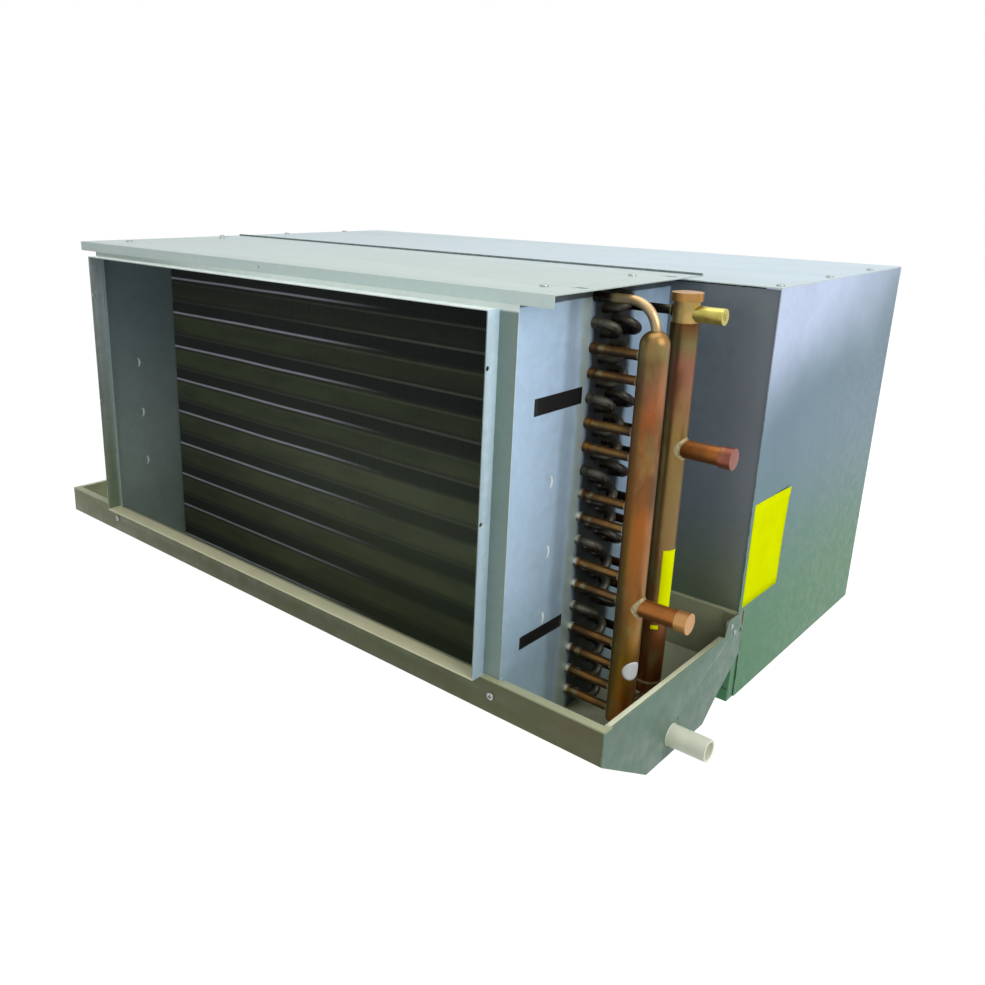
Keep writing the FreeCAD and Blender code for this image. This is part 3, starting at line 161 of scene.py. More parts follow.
class CoilLook(bpy.types.PropertyGroup):
    """Sizes and colours of the fins and tubes."""

    fin_pitch: length("Fin pitch", "Distance from fin to fin", 2.4 * MM)
    fin_thickness: length("Fin thickness", "Thickness of one fin", 0.2 * MM)
    fin_wave: length("Fin wave", "Height of the fins' corrugation", 0.45 * MM)
    wave_count: IntProperty(name="Waves", description="Corrugations across one fin", min=2, max=16, default=8)
    fin: colour("Fin", "Coated fin stock", "4c524e")
    # Painted light: the fins low on the right are lightened where little light falls
    fin_low: colour("Low fin", "Fin stock low on the right, where little light falls", "8e9884")
    # Painted highlights: bright lines across the fin edges
    fin_highlight: colour("Fin line", "Bright rubbed lines across the fin edges", "f2f5ff")
    # Painted highlights: faint lines at the tubes in between
    faint_highlight: colour("Faint line", "Faint lines at the tubes between", "a9b19c")
    fin_band: colour("Fin band", "Dull bands below the lines", "7d8868")


class CopperLook(bpy.types.PropertyGroup):
    """Colours of the copper, brass and brazing."""

    bright: colour("Bright", "Bare copper", "a8763a")
    brown: colour("Brown", "Heat tinted copper", "66482a")
    olive: colour("Olive", "Yellow green temper film", "7d7c4c")
    # Dark copper tone, also laid as painted shade on what looks down, near the side plate and towards the rear rows
    dark: colour("Dark", "Sooty copper behind the headers", "1f1812")
    braze: colour("Braze", "Brazing alloy with flux", "a89c74")
    braze_width: length("Braze width", "Width of a brazed fillet", 2.4 * MM)


class LabelLook(bpy.types.PropertyGroup):
    """Sizes and colours of the bare labels."""

    thickness: length("Thickness", "Thickness of a label", 0.15 * MM)
    black: colour("Black", "Black strips on the side plate", "0d0f12")
    yellow: colour("Yellow", "Yellow plates", "f0fb00")
    white: colour("White", "Round dot on the front header", "fbfdff")


class StudioLook(bpy.types.PropertyGroup):
    """Camera and lamps."""

    eye: FloatVectorProperty(
        name="Camera place",
        description="Place of the camera",
        subtype="TRANSLATION",
        default=(0.8337, -0.8103, 0.5687),
    )
    heading: angle("Heading", "Turn of the view round Z", -0.739)
    tilt: angle("Tilt", "Tilt of the view above the horizon", -0.294)
    roll: angle("Roll", "Roll of the camera", 0.019)
    focal: FloatProperty(name="Focal length", description="Lens in the frame's pixels", default=913.3)
    key: FloatProperty(name="Key lamp", description="Power of the lamp on the right", default=30)
    top: FloatProperty(name="Top lamp", description="Power of the lamp above", default=26)
    ambient: FloatProperty(name="Ambient", description="Level of the soft light from all round", default=0.3)


def feed(tree, socket, source):
    """Links a socket to its source, or sets it to a number, a colour or a vector."""
    if isinstance(source, bpy.types.NodeSocket):
        tree.links.new(source, socket)
    elif socket.type == "RGBA":
        socket.default_value = (*source, 1)[:4]
    else:
        socket.default_value = source


def add(tree, kind, inputs=None, **settings):
    """A node with its settings, whose inputs take a value or a link."""
    made = tree.nodes.new(kind)
    for key, setting in settings.items():
        setattr(made, key, setting)
    for key, source in (inputs or {}).items():
        feed(tree, made.inputs[key], source)
    return made


def maths(tree, operation, first, second=0.0, third=0.0):
    """The value of one sum."""
    return add(tree, "ShaderNodeMath", {0: first, 1: second, 2: third}, operation=operation).outputs[0]


def times(tree, first, *others):
    """Values multiplied with each other."""
    for other in others:
        first = maths(tree, "MULTIPLY", first, other)
    return first


def minus(tree, first, second):
    """One value less another."""
    return maths(tree, "SUBTRACT", first, second)


def grey_of(tree, shade):
    """A grey colour from one value."""
    return add(tree, "ShaderNodeCombineColor", {0: shade, 1: shade, 2: shade}).outputs[0]


def remap(tree, source, low, high, to_low=0.0, to_high=1.0):
    """A value stretched from one range to another, held at its ends and eased between them."""
    inputs = {"Value": source, "From Min": low, "From Max": high, "To Min": to_low, "To Max": to_high}
    return add(tree, "ShaderNodeMapRange", inputs, interpolation_type="SMOOTHSTEP").outputs[0]


def stripe(tree, source, middle, core, fade):
    """One close to the middle of a value, falling to nothing where it fades."""
    away = maths(tree, "ABSOLUTE", minus(tree, source, middle))
    return remap(tree, away, fade, core)


def ramp(tree, source, stops):
    """A colour that turns from stop to stop along a value."""
    low, high = stops[0][0], stops[-1][0]
    share = maths(tree, "DIVIDE", minus(tree, source, low), high - low)
    made = add(tree, "ShaderNodeValToRGB", {0: share})
    marks = made.color_ramp.elements
    marks[0].color = (*srgb(stops[0][1]), 1)
    marks[1].color = (*srgb(stops[-1][1]), 1)
    for at, code in stops[1:-1]:
        marks.new((at - low) / (high - low)).color = (*srgb(code), 1)
    return made.outputs["Color"]


def mixed(tree, factor, first, second, mode="MIX"):
    """Two colours mixed by a factor."""
    made = add(tree, "ShaderNodeMix", {0: factor, 6: first, 7: second}, data_type="RGBA", blend_type=mode)
    return made.outputs[2]


def masked(tree, mask, base, laid, **inputs):
    """A colour laid over another by the mask of a node group."""
    return mixed(tree, grouped(tree, mask, **inputs)["Mask"], base, laid)


def place(tree):
    """The place of a point on the object, in metres."""
    return add(tree, "ShaderNodeTexCoord").outputs["Object"]


def axis(tree, name):
    """One coordinate of the place."""
    return add(tree, "ShaderNodeSeparateXYZ", {0: place(tree)}).outputs[name]


def between(tree, name, low, high, to_low=0.0, to_high=1.0):
    """How far a point lies from one place to another on an axis."""
    return remap(tree, axis(tree, name), low, high, to_low, to_high)


def facing(tree, name, sign=1, low=0.5, high=0.85):
    """How far a face looks along an axis, or against it where the sign is minus."""
    normal = add(tree, "ShaderNodeNewGeometry").outputs["Normal"]
    part = add(tree, "ShaderNodeSeparateXYZ", {0: normal}).outputs[name]
    return remap(tree, part, sign * low, sign * high)


def grain(tree, scale, detail=3.0, stretch=(1, 1, 1), rough=0.55):
    """Noise of a given scale, stretched along the axes."""
    spread = add(tree, "ShaderNodeMapping", {"Vector": place(tree), "Scale": stretch}).outputs[0]
    inputs = {"Vector": spread, "Scale": scale, "Detail": detail, "Roughness": rough}
    return add(tree, "ShaderNodeTexNoise", inputs).outputs["Fac"]


def wavy(tree, name, amount, scale, stretch=(1, 1, 1)):
    """One coordinate of the place, made uneven by noise."""
    uneven = minus(tree, grain(tree, scale, 3.0, stretch), 0.5)
    return maths(tree, "MULTIPLY_ADD", uneven, amount, axis(tree, name))


def shader_group(name, inputs, outputs):
    """An empty node group with named sockets."""
    tree = bpy.data.node_groups.new(name, "ShaderNodeTree")
    kinds = {"colour": "NodeSocketColor", "value": "NodeSocketFloat"}
    for label, kind, default in inputs:
        socket = tree.interface.new_socket(label, in_out="INPUT", socket_type=kinds[kind])
        socket.default_value = (*default, 1) if kind == "colour" else default
    for label, kind in outputs:
        tree.interface.new_socket(label, in_out="OUTPUT", socket_type=kinds[kind])
    entry = tree.nodes.new("NodeGroupInput")
    leave = tree.nodes.new("NodeGroupOutput")
    return tree, entry.outputs, leave.inputs


def zinc_group():
    """Hot dipped zinc: spangle cells, slow patches, rolling streaks and stains."""
    tree, take, give = shader_group(
        "zinc_coat",
        [
            ("Tint", "colour", (0.6, 0.65, 0.7)),
            ("Stain", "colour", (0.2, 0.13, 0.08)),
            ("Spangle", "value", 0.12),
            ("Streaks", "value", 0.15),
            ("Stains", "value", 0.1),
        ],
        [("Colour", "colour"), ("Roughness", "value"), ("Height", "value")],
    )
    cells = add(tree, "ShaderNodeTexVoronoi", {"Vector": place(tree), "Scale": 130.0, "Randomness": 1.0})
    flake = add(tree, "ShaderNodeRGBToBW", {0: cells.outputs["Color"]}).outputs[0]
    patches = grain(tree, 7.0, 4.0)
    streaks = grain(tree, 22.0, 3.0, (1, 1, 0.12))
    shade = maths(tree, "MULTIPLY_ADD", minus(tree, flake, 0.5), take["Spangle"], 1.0)
    shade = maths(tree, "MULTIPLY_ADD", minus(tree, patches, 0.5), take["Streaks"], shade)
    shade = maths(tree, "MULTIPLY_ADD", minus(tree, streaks, 0.5), take["Streaks"], shade)
    tinted = mixed(tree, 1.0, take["Tint"], grey_of(tree, shade), "MULTIPLY")
    spots = remap(tree, grain(tree, 34.0, 6.0, rough=0.7), 0.58, 0.74)
    tree.links.new(mixed(tree, times(tree, spots, take["Stains"]), tinted, take["Stain"]), give["Colour"])
    tree.links.new(remap(tree, flake, 0.0, 1.0, 0.4, 0.5), give["Roughness"])
    tree.links.new(maths(tree, "ADD", patches, times(tree, flake, 0.01)), give["Height"])


def rub_group():
    """Where an outer edge is rubbed bright: the turned normal differs from the flat one."""
    tree, take, give = shader_group(
        "edge_rub",
        [("Width", "value", 0.0012), ("Amount", "value", 0.5)],
        [("Mask", "value")],
    )
    turned = add(tree, "ShaderNodeBevel", {"Radius": take["Width"]}, samples=4).outputs[0]
    flat = add(tree, "ShaderNodeNewGeometry").outputs["Normal"]
    same = add(tree, "ShaderNodeVectorMath", {0: turned, 1: flat}, operation="DOT_PRODUCT").outputs["Value"]
    edge = remap(tree, same, 0.98, 0.8)
    broken = remap(tree, grain(tree, 90.0, 4.0), 0.35, 0.6)
    tree.links.new(times(tree, edge, broken, take["Amount"]), give["Mask"])


def dust_group():
    """Dust that settles where a face looks up."""
    tree, take, give = shader_group("settled_dust", [("Amount", "value", 0.3)], [("Mask", "value")])
    cloud = remap(tree, grain(tree, 18.0, 5.0), 0.3, 0.75, 0.35, 1.0)
    tree.links.new(times(tree, facing(tree, "Z", 1, 0.3, 0.95), cloud, take["Amount"]), give["Mask"])


def tint_group():
    """Heat tint of brazed copper: brown clouds, olive film and small dark specks."""
    tree, take, give = shader_group(
        "heat_tint",
        [
            ("Bright", "colour", (0.5, 0.2, 0.1)),
            ("Brown", "colour", (0.2, 0.06, 0.03)),
            ("Film", "colour", (0.25, 0.2, 0.04)),
            ("Cover", "value", 0.5),
        ],
        [("Colour", "colour"), ("Roughness", "value"), ("Height", "value")],
    )
    clouds = grain(tree, 26.0, 4.0, (1, 1, 0.4))
    film = remap(tree, grain(tree, 41.0, 3.0, (1, 1, 0.5)), 0.52, 0.72, 0.0, 0.6)
    specks = remap(tree, grain(tree, 420.0, 2.0), 0.66, 0.74, 0.0, 0.5)
    low = minus(tree, 0.85, take["Cover"])
    tinted = mixed(tree, remap(tree, clouds, low, maths(tree, "ADD", low, 0.3)), take["Bright"], take["Brown"])
    tinted = mixed(tree, film, tinted, take["Film"])
    tree.links.new(mixed(tree, specks, tinted, (0.02, 0.012, 0.008)), give["Colour"])
    tree.links.new(remap(tree, clouds, 0.2, 0.8, 0.28, 0.5), give["Roughness"])
    tree.links.new(maths(tree, "ADD", specks, clouds), give["Height"])


# Each finish by its own name, apart from the plain ones that come with the frame
FINISHES = {}
RUB_WIDTH = 1.2 * MM


def finish(name, metallic=0.0, roughness=0.5, bump=0.0002, **sockets):
    """A material with its shader and a bump node, ready for colours; extra sockets are named with underscores."""
    made = bpy.data.materials.new(name + "_finish")
    FINISHES[name] = made
    made.use_nodes = True
    tree = made.node_tree
    tree.nodes.clear()
    output = tree.nodes.new("ShaderNodeOutputMaterial")
    shader = tree.nodes.new("ShaderNodeBsdfPrincipled")
    tree.links.new(shader.outputs[0], output.inputs[0])
    shader.inputs["Metallic"].default_value = metallic
    shader.inputs["Roughness"].default_value = roughness
    for key, level in sockets.items():
        shader.inputs[key.replace("_", " ").title()].default_value = level
    relief = add(tree, "ShaderNodeBump", {"Distance": bump, "Strength": 1.0})
    tree.links.new(relief.outputs[0], shader.inputs["Normal"])
    return tree, shader.inputs, relief.inputs["Height"]


def grouped(tree, name, **inputs):
    """A placed node group with its own values."""
    made = add(tree, "ShaderNodeGroup", node_tree=bpy.data.node_groups[name])
    for key, source in inputs.items():
        feed(tree, made.inputs[key.title()], source)
    return made.outputs


def zinc(name, tint, spangle=0.1, streaks=0.14, stains=0.06, dust=0.12, wear=0.5):
    """Galvanised sheet; its tint is a colour or a function that gives one from the place."""
    tree, shader, height = finish(name, metallic=0.25, bump=0.0006)
    look = bpy.context.scene.sheet_look
    tone = tint(tree, look) if callable(tint) else tint
    coat = grouped(tree, "zinc_coat", tint=tone, stain=look.stain, spangle=spangle, streaks=streaks, stains=stains)
    rubbed = masked(tree, "edge_rub", coat["Colour"], (0.8, 0.83, 0.8), width=RUB_WIDTH, amount=wear)
    dusty = masked(tree, "settled_dust", rubbed, (0.72, 0.72, 0.66), amount=dust)
    tree.links.new(dusty, shader["Base Color"])
    tree.links.new(coat["Roughness"], shader["Roughness"])
    tree.links.new(coat["Height"], height)


def top_tone(tree, look):
    """Top panels: greener in front, bluer at the rear, painted shade along the seam, and painted light on the front
    fold, brighter towards the right.
    """
    rear = remap(tree, wavy(tree, "Y", 0.2, 4.0), -0.05, 0.3)
    right = between(tree, "X", -0.4, 0.4)
    tone = mixed(tree, rear, look.top, look.top_rear)
    tone = mixed(tree, times(tree, minus(tree, 1.0, right), 0.5), tone, srgb("b6c6c5"))
    # Painted shade: a darker band on the top panel along the seam
    before = remap(tree, wavy(tree, "Y", 0.004, 60.0), SEAM - 0.0115, SEAM - 0.0015)
    behind = between(tree, "Y", SEAM + 0.0025, SEAM)
    tone = mixed(tree, times(tree, before, behind, 0.45), tone, srgb("6f7c78"))
    # Painted light: the front fold turns paler towards the right
    fold = mixed(tree, right, srgb("c2d2ce"), look.fold)
    return mixed(tree, facing(tree, "Y", -1), tone, fold)


def collar_tone(tree, look):
    """Collar: painted shade on the front faces, painted light on the sides towards the headers, on the lip under the
    top panel's fold and on what looks up, with a pale khaki floor.
    """
    left = between(tree, "X", -0.2, -0.34)
    height = remap(tree, wavy(tree, "Z", 0.1, 5.0), TONE_LOW, TONE_HIGH)
    # Painted light: the sides towards the headers are paler, more so higher up
    side = mixed(tree, height, srgb("b9cfde"), look.collar_side)
    side = mixed(tree, left, side, mixed(tree, height, srgb("7f8d74"), srgb("b0bcbc")))
    # Painted shade: the front faces are dimmer
    front = mixed(tree, left, look.collar_front, mixed(tree, height, srgb("7d8c7b"), srgb("b9c4c2")))
    leftward = between(tree, "X", 0.05, -0.3)
    # Painted light: the strip under the top panel's fold is made near white, fading to the left
    above = mixed(tree, leftward, srgb("f4fff9"), srgb("a9b5af"))
    upper_edge, lower_edge = 0.458, 0.0955
    front = mixed(tree, between(tree, "Z", upper_edge, upper_edge + 3 * MM), front, above)
    front = mixed(tree, between(tree, "Z", lower_edge, lower_edge - MM), front, srgb("d6d9ae"))
    tone = mixed(tree, facing(tree, "X"), look.collar, side)
    tone = mixed(tree, facing(tree, "Y", -1), tone, front)
    # Painted light: what looks up is made pale
    floor = mixed(tree, height, look.collar_lit_floor, srgb("f4fff9"))
    return mixed(tree, facing(tree, "Z"), tone, floor)


def side_tone(tree, look):
    """Side plate: paler at the top, painted shade round the tubes and under the top panel's edge, a flux haze in
    front of the tubes, and painted shade on the faces that look forward.
    """
    height = remap(tree, wavy(tree, "Z", 0.1, 5.0), 0.06, TONE_HIGH)
    tone = mixed(tree, height, look.side_low, look.side)
    across = wavy(tree, "Y", 0.014, 28.0)
    shade_at, haze_at = -0.064, -0.041
    shade = times(tree, stripe(tree, across, shade_at, 3 * MM, 17 * MM), 0.42)
    tone = mixed(tree, shade, tone, srgb("6c7d88"))
    haze = times(tree, stripe(tree, across, haze_at, 3 * MM, 13 * MM), 0.65)
    tone = mixed(tree, haze, tone, srgb("a3b09a"))
    # Painted shade round the tubes
    painted_shade = times(tree, remap(tree, across, -0.036, -0.025), remap(tree, across, 0.052, 0.04), 0.96)
    tone = mixed(tree, painted_shade, tone, look.painted_shade)
    # Painted shadow under the top panel's edge
    under_top = 0.4625
    shadow_under_top = remap(tree, wavy(tree, "Z", 0.002, 40.0), under_top, under_top + 2 * MM)
    tone = mixed(tree, times(tree, shadow_under_top, 0.85), tone, look.painted_shade)
    # Painted shade: the faces that look forward take the collar's shaded front tone
    return mixed(tree, facing(tree, "Y", -1), tone, look.collar_front)


def wall_tone(tree, look):
    """Casing's left wall as seen through the mouth."""
    height = between(tree, "Z", TONE_LOW, TONE_HIGH)
    return mixed(tree, height, srgb("b0c1bb"), look.wall)


def lightened_behind_pan(tree, tone):
    """A tone with a pale khaki band, in the pan's colour, painted as light on the shaded faces that look forward
    behind the pan's rim.
    """
    behind = times(tree, facing(tree, "Y", -1), stripe(tree, axis(tree, "Z"), 0.1, 0.013, 0.014))
    return mixed(tree, behind, tone, srgb("d4d8b2"))


def fan_side_tone(tree, look):
    """Fan box's sides: painted light above and a painted green reflection of the floor below on the right, plain
    grey on the left and at the rear.
    """
    height = wavy(tree, "Z", 0.12, 5.0)
    lit = remap(tree, minus(tree, height, times(tree, axis(tree, "Y"), 0.2)), 0.27, 0.405)
    # Painted light: paler towards the top
    tone = mixed(tree, lit, look.fan_side, look.fan_top)
    away = between(tree, "Y", 0.28, 0.5, 0.0, 0.4)
    tone = mixed(tree, away, tone, srgb("55788a"))
    # Painted reflection: the green of the floor near the foot
    tone = mixed(tree, remap(tree, height, 0.31, 0.05), tone, look.floor_reflection)
    behind = maths(tree, "MAXIMUM", facing(tree, "Y"), facing(tree, "X", -1))
    grey = mixed(tree, remap(tree, height, 0.05, TONE_HIGH), srgb("828e8c"), srgb("a3b2ba"))
    tone = mixed(tree, behind, tone, grey)
    return lightened_behind_pan(tree, tone)


def deck_tone(tree, look):
    """Deck between coil and fan box: darkened as painted shade of its recess, greener towards the pan, with a
    painted green reflection of the floor where it meets the fan box's foot.
    """
    height = wavy(tree, "Z", 0.1, 6.0)
    # The deck's tones are darkened as painted shade of its recess
    tone = mixed(tree, remap(tree, height, 0.24, 0.12), look.deck, look.deck_low)
    # Painted reflection: the green of the floor near the foot
    tone = mixed(tree, between(tree, "Z", 0.1, 0.085), tone, look.floor_reflection)
    return lightened_behind_pan(tree, tone)


def pan_coat(name, tint, dust=0.25, marked=0.35):
    """Coated pan: matt paint with water marks, a pale rim and rubbed edges, and an inside painted lighter as light,
    less so towards the rear.
    """
    look = bpy.context.scene.sheet_look
    tree, shader, height = finish(name, roughness=0.55, bump=0.0003)
    marks = remap(tree, grain(tree, 14.0, 6.0, rough=0.65), 0.48, 0.7, 0.0, marked)
    past_front = between(tree, "Y", PAN_LOW.y + 0.4 * MM, PAN_LOW.y + SHEET)
    before_end = between(tree, "X", PAN_HIGH.x + 0.2 * MM, PAN_HIGH.x - 0.4 * MM)
    leftward = between(tree, "X", 0.0, -0.45, 0.0, 0.3)
    rearward = remap(tree, wavy(tree, "Y", 0.05, 8.0), -0.06, 0.1)
    # Painted light: the inside is made pale where it lies in shade, less so towards the rear
    within = mixed(tree, rearward, look.pan_inside, srgb("989c7a"))
    base = mixed(tree, leftward, tint, look.pan_rim)
    base = mixed(tree, times(tree, past_front, before_end), base, within)
    base = mixed(tree, marks, base, look.stain)
    rim = between(tree, "Z", PAN_RIM - 2.5 * MM, PAN_RIM - 0.5 * MM)
    front = between(tree, "Y", -0.140, -0.147)
    base = mixed(tree, times(tree, rim, 0.9, front), base, look.pan_rim)
    base = masked(tree, "edge_rub", base, srgb("c2c8a6"), width=RUB_WIDTH, amount=0.7)
    dusty = masked(tree, "settled_dust", base, srgb("a3a386"), amount=dust)
    tree.links.new(dusty, shader["Base Color"])
    tree.links.new(remap(tree, grain(tree, 60.0), 0.3, 0.7, 0.42, 0.62), shader["Roughness"])
    tree.links.new(grain(tree, 160.0, 3.0), height)


def front_header_tone(tree, look):
    """Front header's copper: red at the foot, golden above it, orange along, tan at the dome, with painted shade on
    the side that looks left and a painted highlight on the side that looks right.
    """
    stops = (
        (0.02, "983f1c"), (0.06, "a8651c"), (0.10, "a47a22"), (0.15, "7a5224"), (0.25, "96571c"),
        (0.355, "9c5426"), (0.385, "8a5c40"), (0.41, "705632"), (0.44, "9c7642"),
    )
    tone = ramp(tree, wavy(tree, "Z", 0.05, 16.0, (1, 1, 0.5)), stops)
    streaky = remap(tree, grain(tree, 30.0, 3.0, (1, 1, 0.2)), 0.35, 0.6, 0.25, 0.8)
    # Painted shade on the side that looks left
    left = times(tree, facing(tree, "X", -1, -0.35, 0.2), streaky)
    tone = mixed(tree, left, tone, srgb("705c1c"))
    # Painted highlight on the side that looks right
    right = times(tree, facing(tree, "X", 1, 0.75, 1.0), 0.35)
    return mixed(tree, right, tone, srgb("b98a5e"))


def rear_header_tone(tree, look):
    """Rear header's copper: dark red at the foot, olive tan above, brown under its neck."""
    stops = (
        (0.04, "7a3c1c"), (0.09, "8a5228"), (0.16, "82603a"), (0.24, "80693f"), (0.33, "866c3a"),
        (0.375, "8c6446"), (0.40, "8c5c48"), (0.42, "746a40"), (0.44, "643a16"),
    )
    tone = ramp(tree, wavy(tree, "Z", 0.04, 18.0, (1, 1, 0.5)), stops)
    foot = 0.051
    ring = times(tree, stripe(tree, axis(tree, "Z"), foot, 0.9 * MM, 2.2 * MM), 0.8)
    return mixed(tree, ring, tone, srgb("d8c8a0"))


def cap_tone(tree, look):
    """Caps of the two connections: golden on the lower one, pinker on the upper one."""
    return ramp(tree, axis(tree, "Z"), ((0.16, "c4935a"), (0.31, "8c5040")))


def copper(
    name, bright, brown, film, cover=0.5, metallic=0.75, bead=0.0, roots=0.0, under=0.0, painted_shade=None, plate_shadow=None
):
    """Heat tinted copper; its bright tone is a colour or a function of the place.

    The bead is a ring of braze at the end of each bell; the rest paint light and shade: roots a painted glint on the
    lowest tubes at the side plate, under painted shade on what looks down, painted_shade painted shade towards the
    rear rows, and plate_shadow a painted shadow on what is closer to the plate than a distance.
    """
    tree, shader, height = finish(name, metallic=metallic, roughness=0.35, bump=0.0002)
    look = bpy.context.scene.copper_look
    bare = bright(tree, look) if callable(bright) else bright
    tint = grouped(tree, "heat_tint", bright=bare, brown=brown, film=film, cover=cover)
    base = tint["Colour"]
    # Painted shade: darker towards the rear rows
    if painted_shade:
        start, end, depth = painted_shade
        base = mixed(tree, between(tree, "Y", start, end, 0.0, depth), base, look.dark)
    # Painted shadow: darker close to the side plate, under the top panel's overhang
    if plate_shadow:
        near = remap(tree, wavy(tree, "X", 0.01, 60.0), PLATE_RIGHT + plate_shadow, PLATE_RIGHT + 0.6 * plate_shadow)
        base = mixed(tree, near, base, look.dark)
    if bead:
        patchy = remap(tree, grain(tree, 130.0), 0.38, 0.6)
        bell_end = PLATE_RIGHT + 13 * MM
        ring = stripe(tree, axis(tree, "X"), bell_end, 1.5 * MM, 5 * MM)
        base = mixed(tree, times(tree, ring, patchy, bead), base, look.braze)
    # Painted glint: bright spots on the lowest tubes at the side plate
    if roots:
        near = between(tree, "X", PLATE_RIGHT + 5 * MM, PLATE_RIGHT + 2.5 * MM, 0.0, roots)
        low = between(tree, "Z", 0.28, 0.25)
        base = mixed(tree, times(tree, near, low), base, srgb("fffbea"))
    # Painted shade: darker on what looks down
    if under:
        base = mixed(tree, facing(tree, "Z", -1, -0.45, 0.25), base, mixed(tree, under, base, look.dark))
    tree.links.new(base, shader["Base Color"])
    tree.links.new(tint["Roughness"], shader["Roughness"])
    tree.links.new(tint["Height"], height)


def plain(name, tint, metallic=0.0, roughness=0.5, scale=80.0, amount=0.12, wear=0.0, bump=0.0002, gloss=0.5):
    """A simple finish whose tone, gloss and relief still vary over the surface."""
    tree, shader, height = finish(name, metallic=metallic, roughness=roughness, bump=bump)
    shader["Specular IOR Level"].default_value = gloss
    clouds = grain(tree, scale, 4.0)
    shade = remap(tree, clouds, 0.25, 0.75, 1 - amount, 1 + amount)
    base = mixed(tree, 1.0, tint, grey_of(tree, shade), "MULTIPLY")
    if wear:
        base = masked(tree, "edge_rub", base, (0.75, 0.75, 0.72), width=0.8 * MM, amount=wear)
    tree.links.new(base, shader["Base Color"])
    tree.links.new(remap(tree, clouds, 0.2, 0.8, roughness - 0.06, roughness + 0.08), shader["Roughness"])
    tree.links.new(clouds, height)


def fin_stock():
    """Coated fins: near black, lightened as painted light low on the right, with painted highlight lines every
    second tube and bands below them.
    """
    look = bpy.context.scene.coil_look
    tree, shader, height = finish("fin_coat", metallic=0.2, roughness=0.55)
    up = maths(tree, "MULTIPLY_ADD", grain(tree, 6.0, 1.0), 0.002, axis(tree, "Z"))
    step = maths(tree, "DIVIDE", minus(tree, up, FIN_LOW.z), 2 * TUBE_PITCH)

    def line(middle, core, fade):
        """A line that comes back every second tube, at a share of that step."""
        part = maths(tree, "FRACT", maths(tree, "ADD", step, 0.5 - middle))
        return stripe(tree, part, 0.5, core, fade)

    across = axis(tree, "X")
    leftward = remap(tree, across, 0.11, -0.06)
    rightward = remap(tree, across, -0.2, 0.2, 0.25, 1.0)
    # Painted light: low on the right the fins are lightened where little light falls
    lower = times(tree, between(tree, "Z", 0.36, 0.08), remap(tree, across, -0.32, 0.2, 0.05, 1.0))
    patchy = remap(tree, grain(tree, 9.0, 3.0, (1, 1, 3)), 0.35, 0.65, 0.55, 1.0)
    faded = between(tree, "Z", 0.42, 0.36, 0.25, 1.0)
    top = between(tree, "Z", 0.44, 0.42)
    base = mixed(tree, lower, look.fin, look.fin_low)
    for middle, core, fade, shares, tone in (
        # The bands are lightened low on the right as painted light
        (0.775, 0.17, 0.34, (faded, patchy, 0.75), mixed(tree, lower, look.fin_band, srgb("ccd6ae"))),
        # Painted highlights: the faint and the bright lines
        (0.45, 0.012, 0.045, (rightward, 0.8), look.faint_highlight),
        (0.97, 0.01, 0.04, (rightward, 0.5), look.faint_highlight),
        (0.10, 0.014, 0.042, (leftward, top), look.fin_highlight),
    ):
        base = mixed(tree, times(tree, line(middle, core, fade), *shares), base, tone)
    tree.links.new(base, shader["Base Color"])
    tree.links.new(remap(tree, patchy, 0.0, 1.0, 0.6, 0.5), shader["Roughness"])
    tree.links.new(grain(tree, 300.0), height)


def build_groups():
    """The effects that several finishes share."""
    for build in (zinc_group, rub_group, dust_group, tint_group):
        build()


def new_piece(name, mesh, finish_name, slot, nodes=(), body=CHASSIS, smooth=None):
    """Puts a mesh in the scene with its finish, on its body and in place of its nodes."""
    made = bpy.data.objects.new(name, mesh)
    bpy.context.scene.collection.objects.link(made)
    mesh.materials.clear()
    mesh.materials.append(FINISHES[finish_name])
    if smooth is not None:
        mesh.polygons.foreach_set("use_smooth", [True] * len(mesh.polygons))
        mesh.set_sharp_from_angle(angle=smooth)
    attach(made, body)
    if nodes:
        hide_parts(*nodes)
    return made


def mesh_of(name, points, faces):
    """A mesh from points in metres and faces."""
    mesh = bpy.data.meshes.new(name)
    mesh.from_pydata([tuple(point) for point in points], [], faces)
    mesh.validate()
    return mesh


def laid(name, points, faces, finish_name, slot, nodes=(), smooth=None):
    """A piece made straight from its points and faces."""
    return new_piece(name, mesh_of(name, points, faces), finish_name, slot, nodes, smooth=smooth)


def circle(sides, radius=1.0):
    """Points round a circle, as pairs."""
    turns = [2 * math.pi * side / sides for side in range(sides)]
    return [(radius * math.cos(turn), radius * math.sin(turn)) for turn in turns]


def grid_faces(across, along, wrap=False, start=0):
    """Quads over a grid of points; wrap joins the last column to the first."""
    columns = across if wrap else across - 1
    return [
        (
            start + row * across + column,
            start + row * across + (column + 1) % across,
            start + (row + 1) * across + (column + 1) % across,
            start + (row + 1) * across + column,
        )
        for row in range(along - 1)
        for column in range(columns)
    ]


def rounded_copy(node, radius, flat=math.radians(0.5), corner=math.radians(30)):
    """The node's sheet with its sharp edges rounded."""
    mesh = NODES[node].data.copy()
    mesh.name = node + "_folded"
    work = bmesh.new()
    work.from_mesh(mesh)
    bmesh.ops.remove_doubles(work, verts=work.verts, dist=SAME_POINT)
    bmesh.ops.dissolve_limit(work, angle_limit=flat, verts=work.verts, edges=work.edges)
    sharp = [edge for edge in work.edges if len(edge.link_faces) == 2 and edge.calc_face_angle() > corner]
    bmesh.ops.bevel(work, geom=sharp, offset=radius, segments=2, profile=0.6, affect="EDGES", clamp_overlap=True)
    work.to_mesh(mesh)
    work.free()
    return mesh


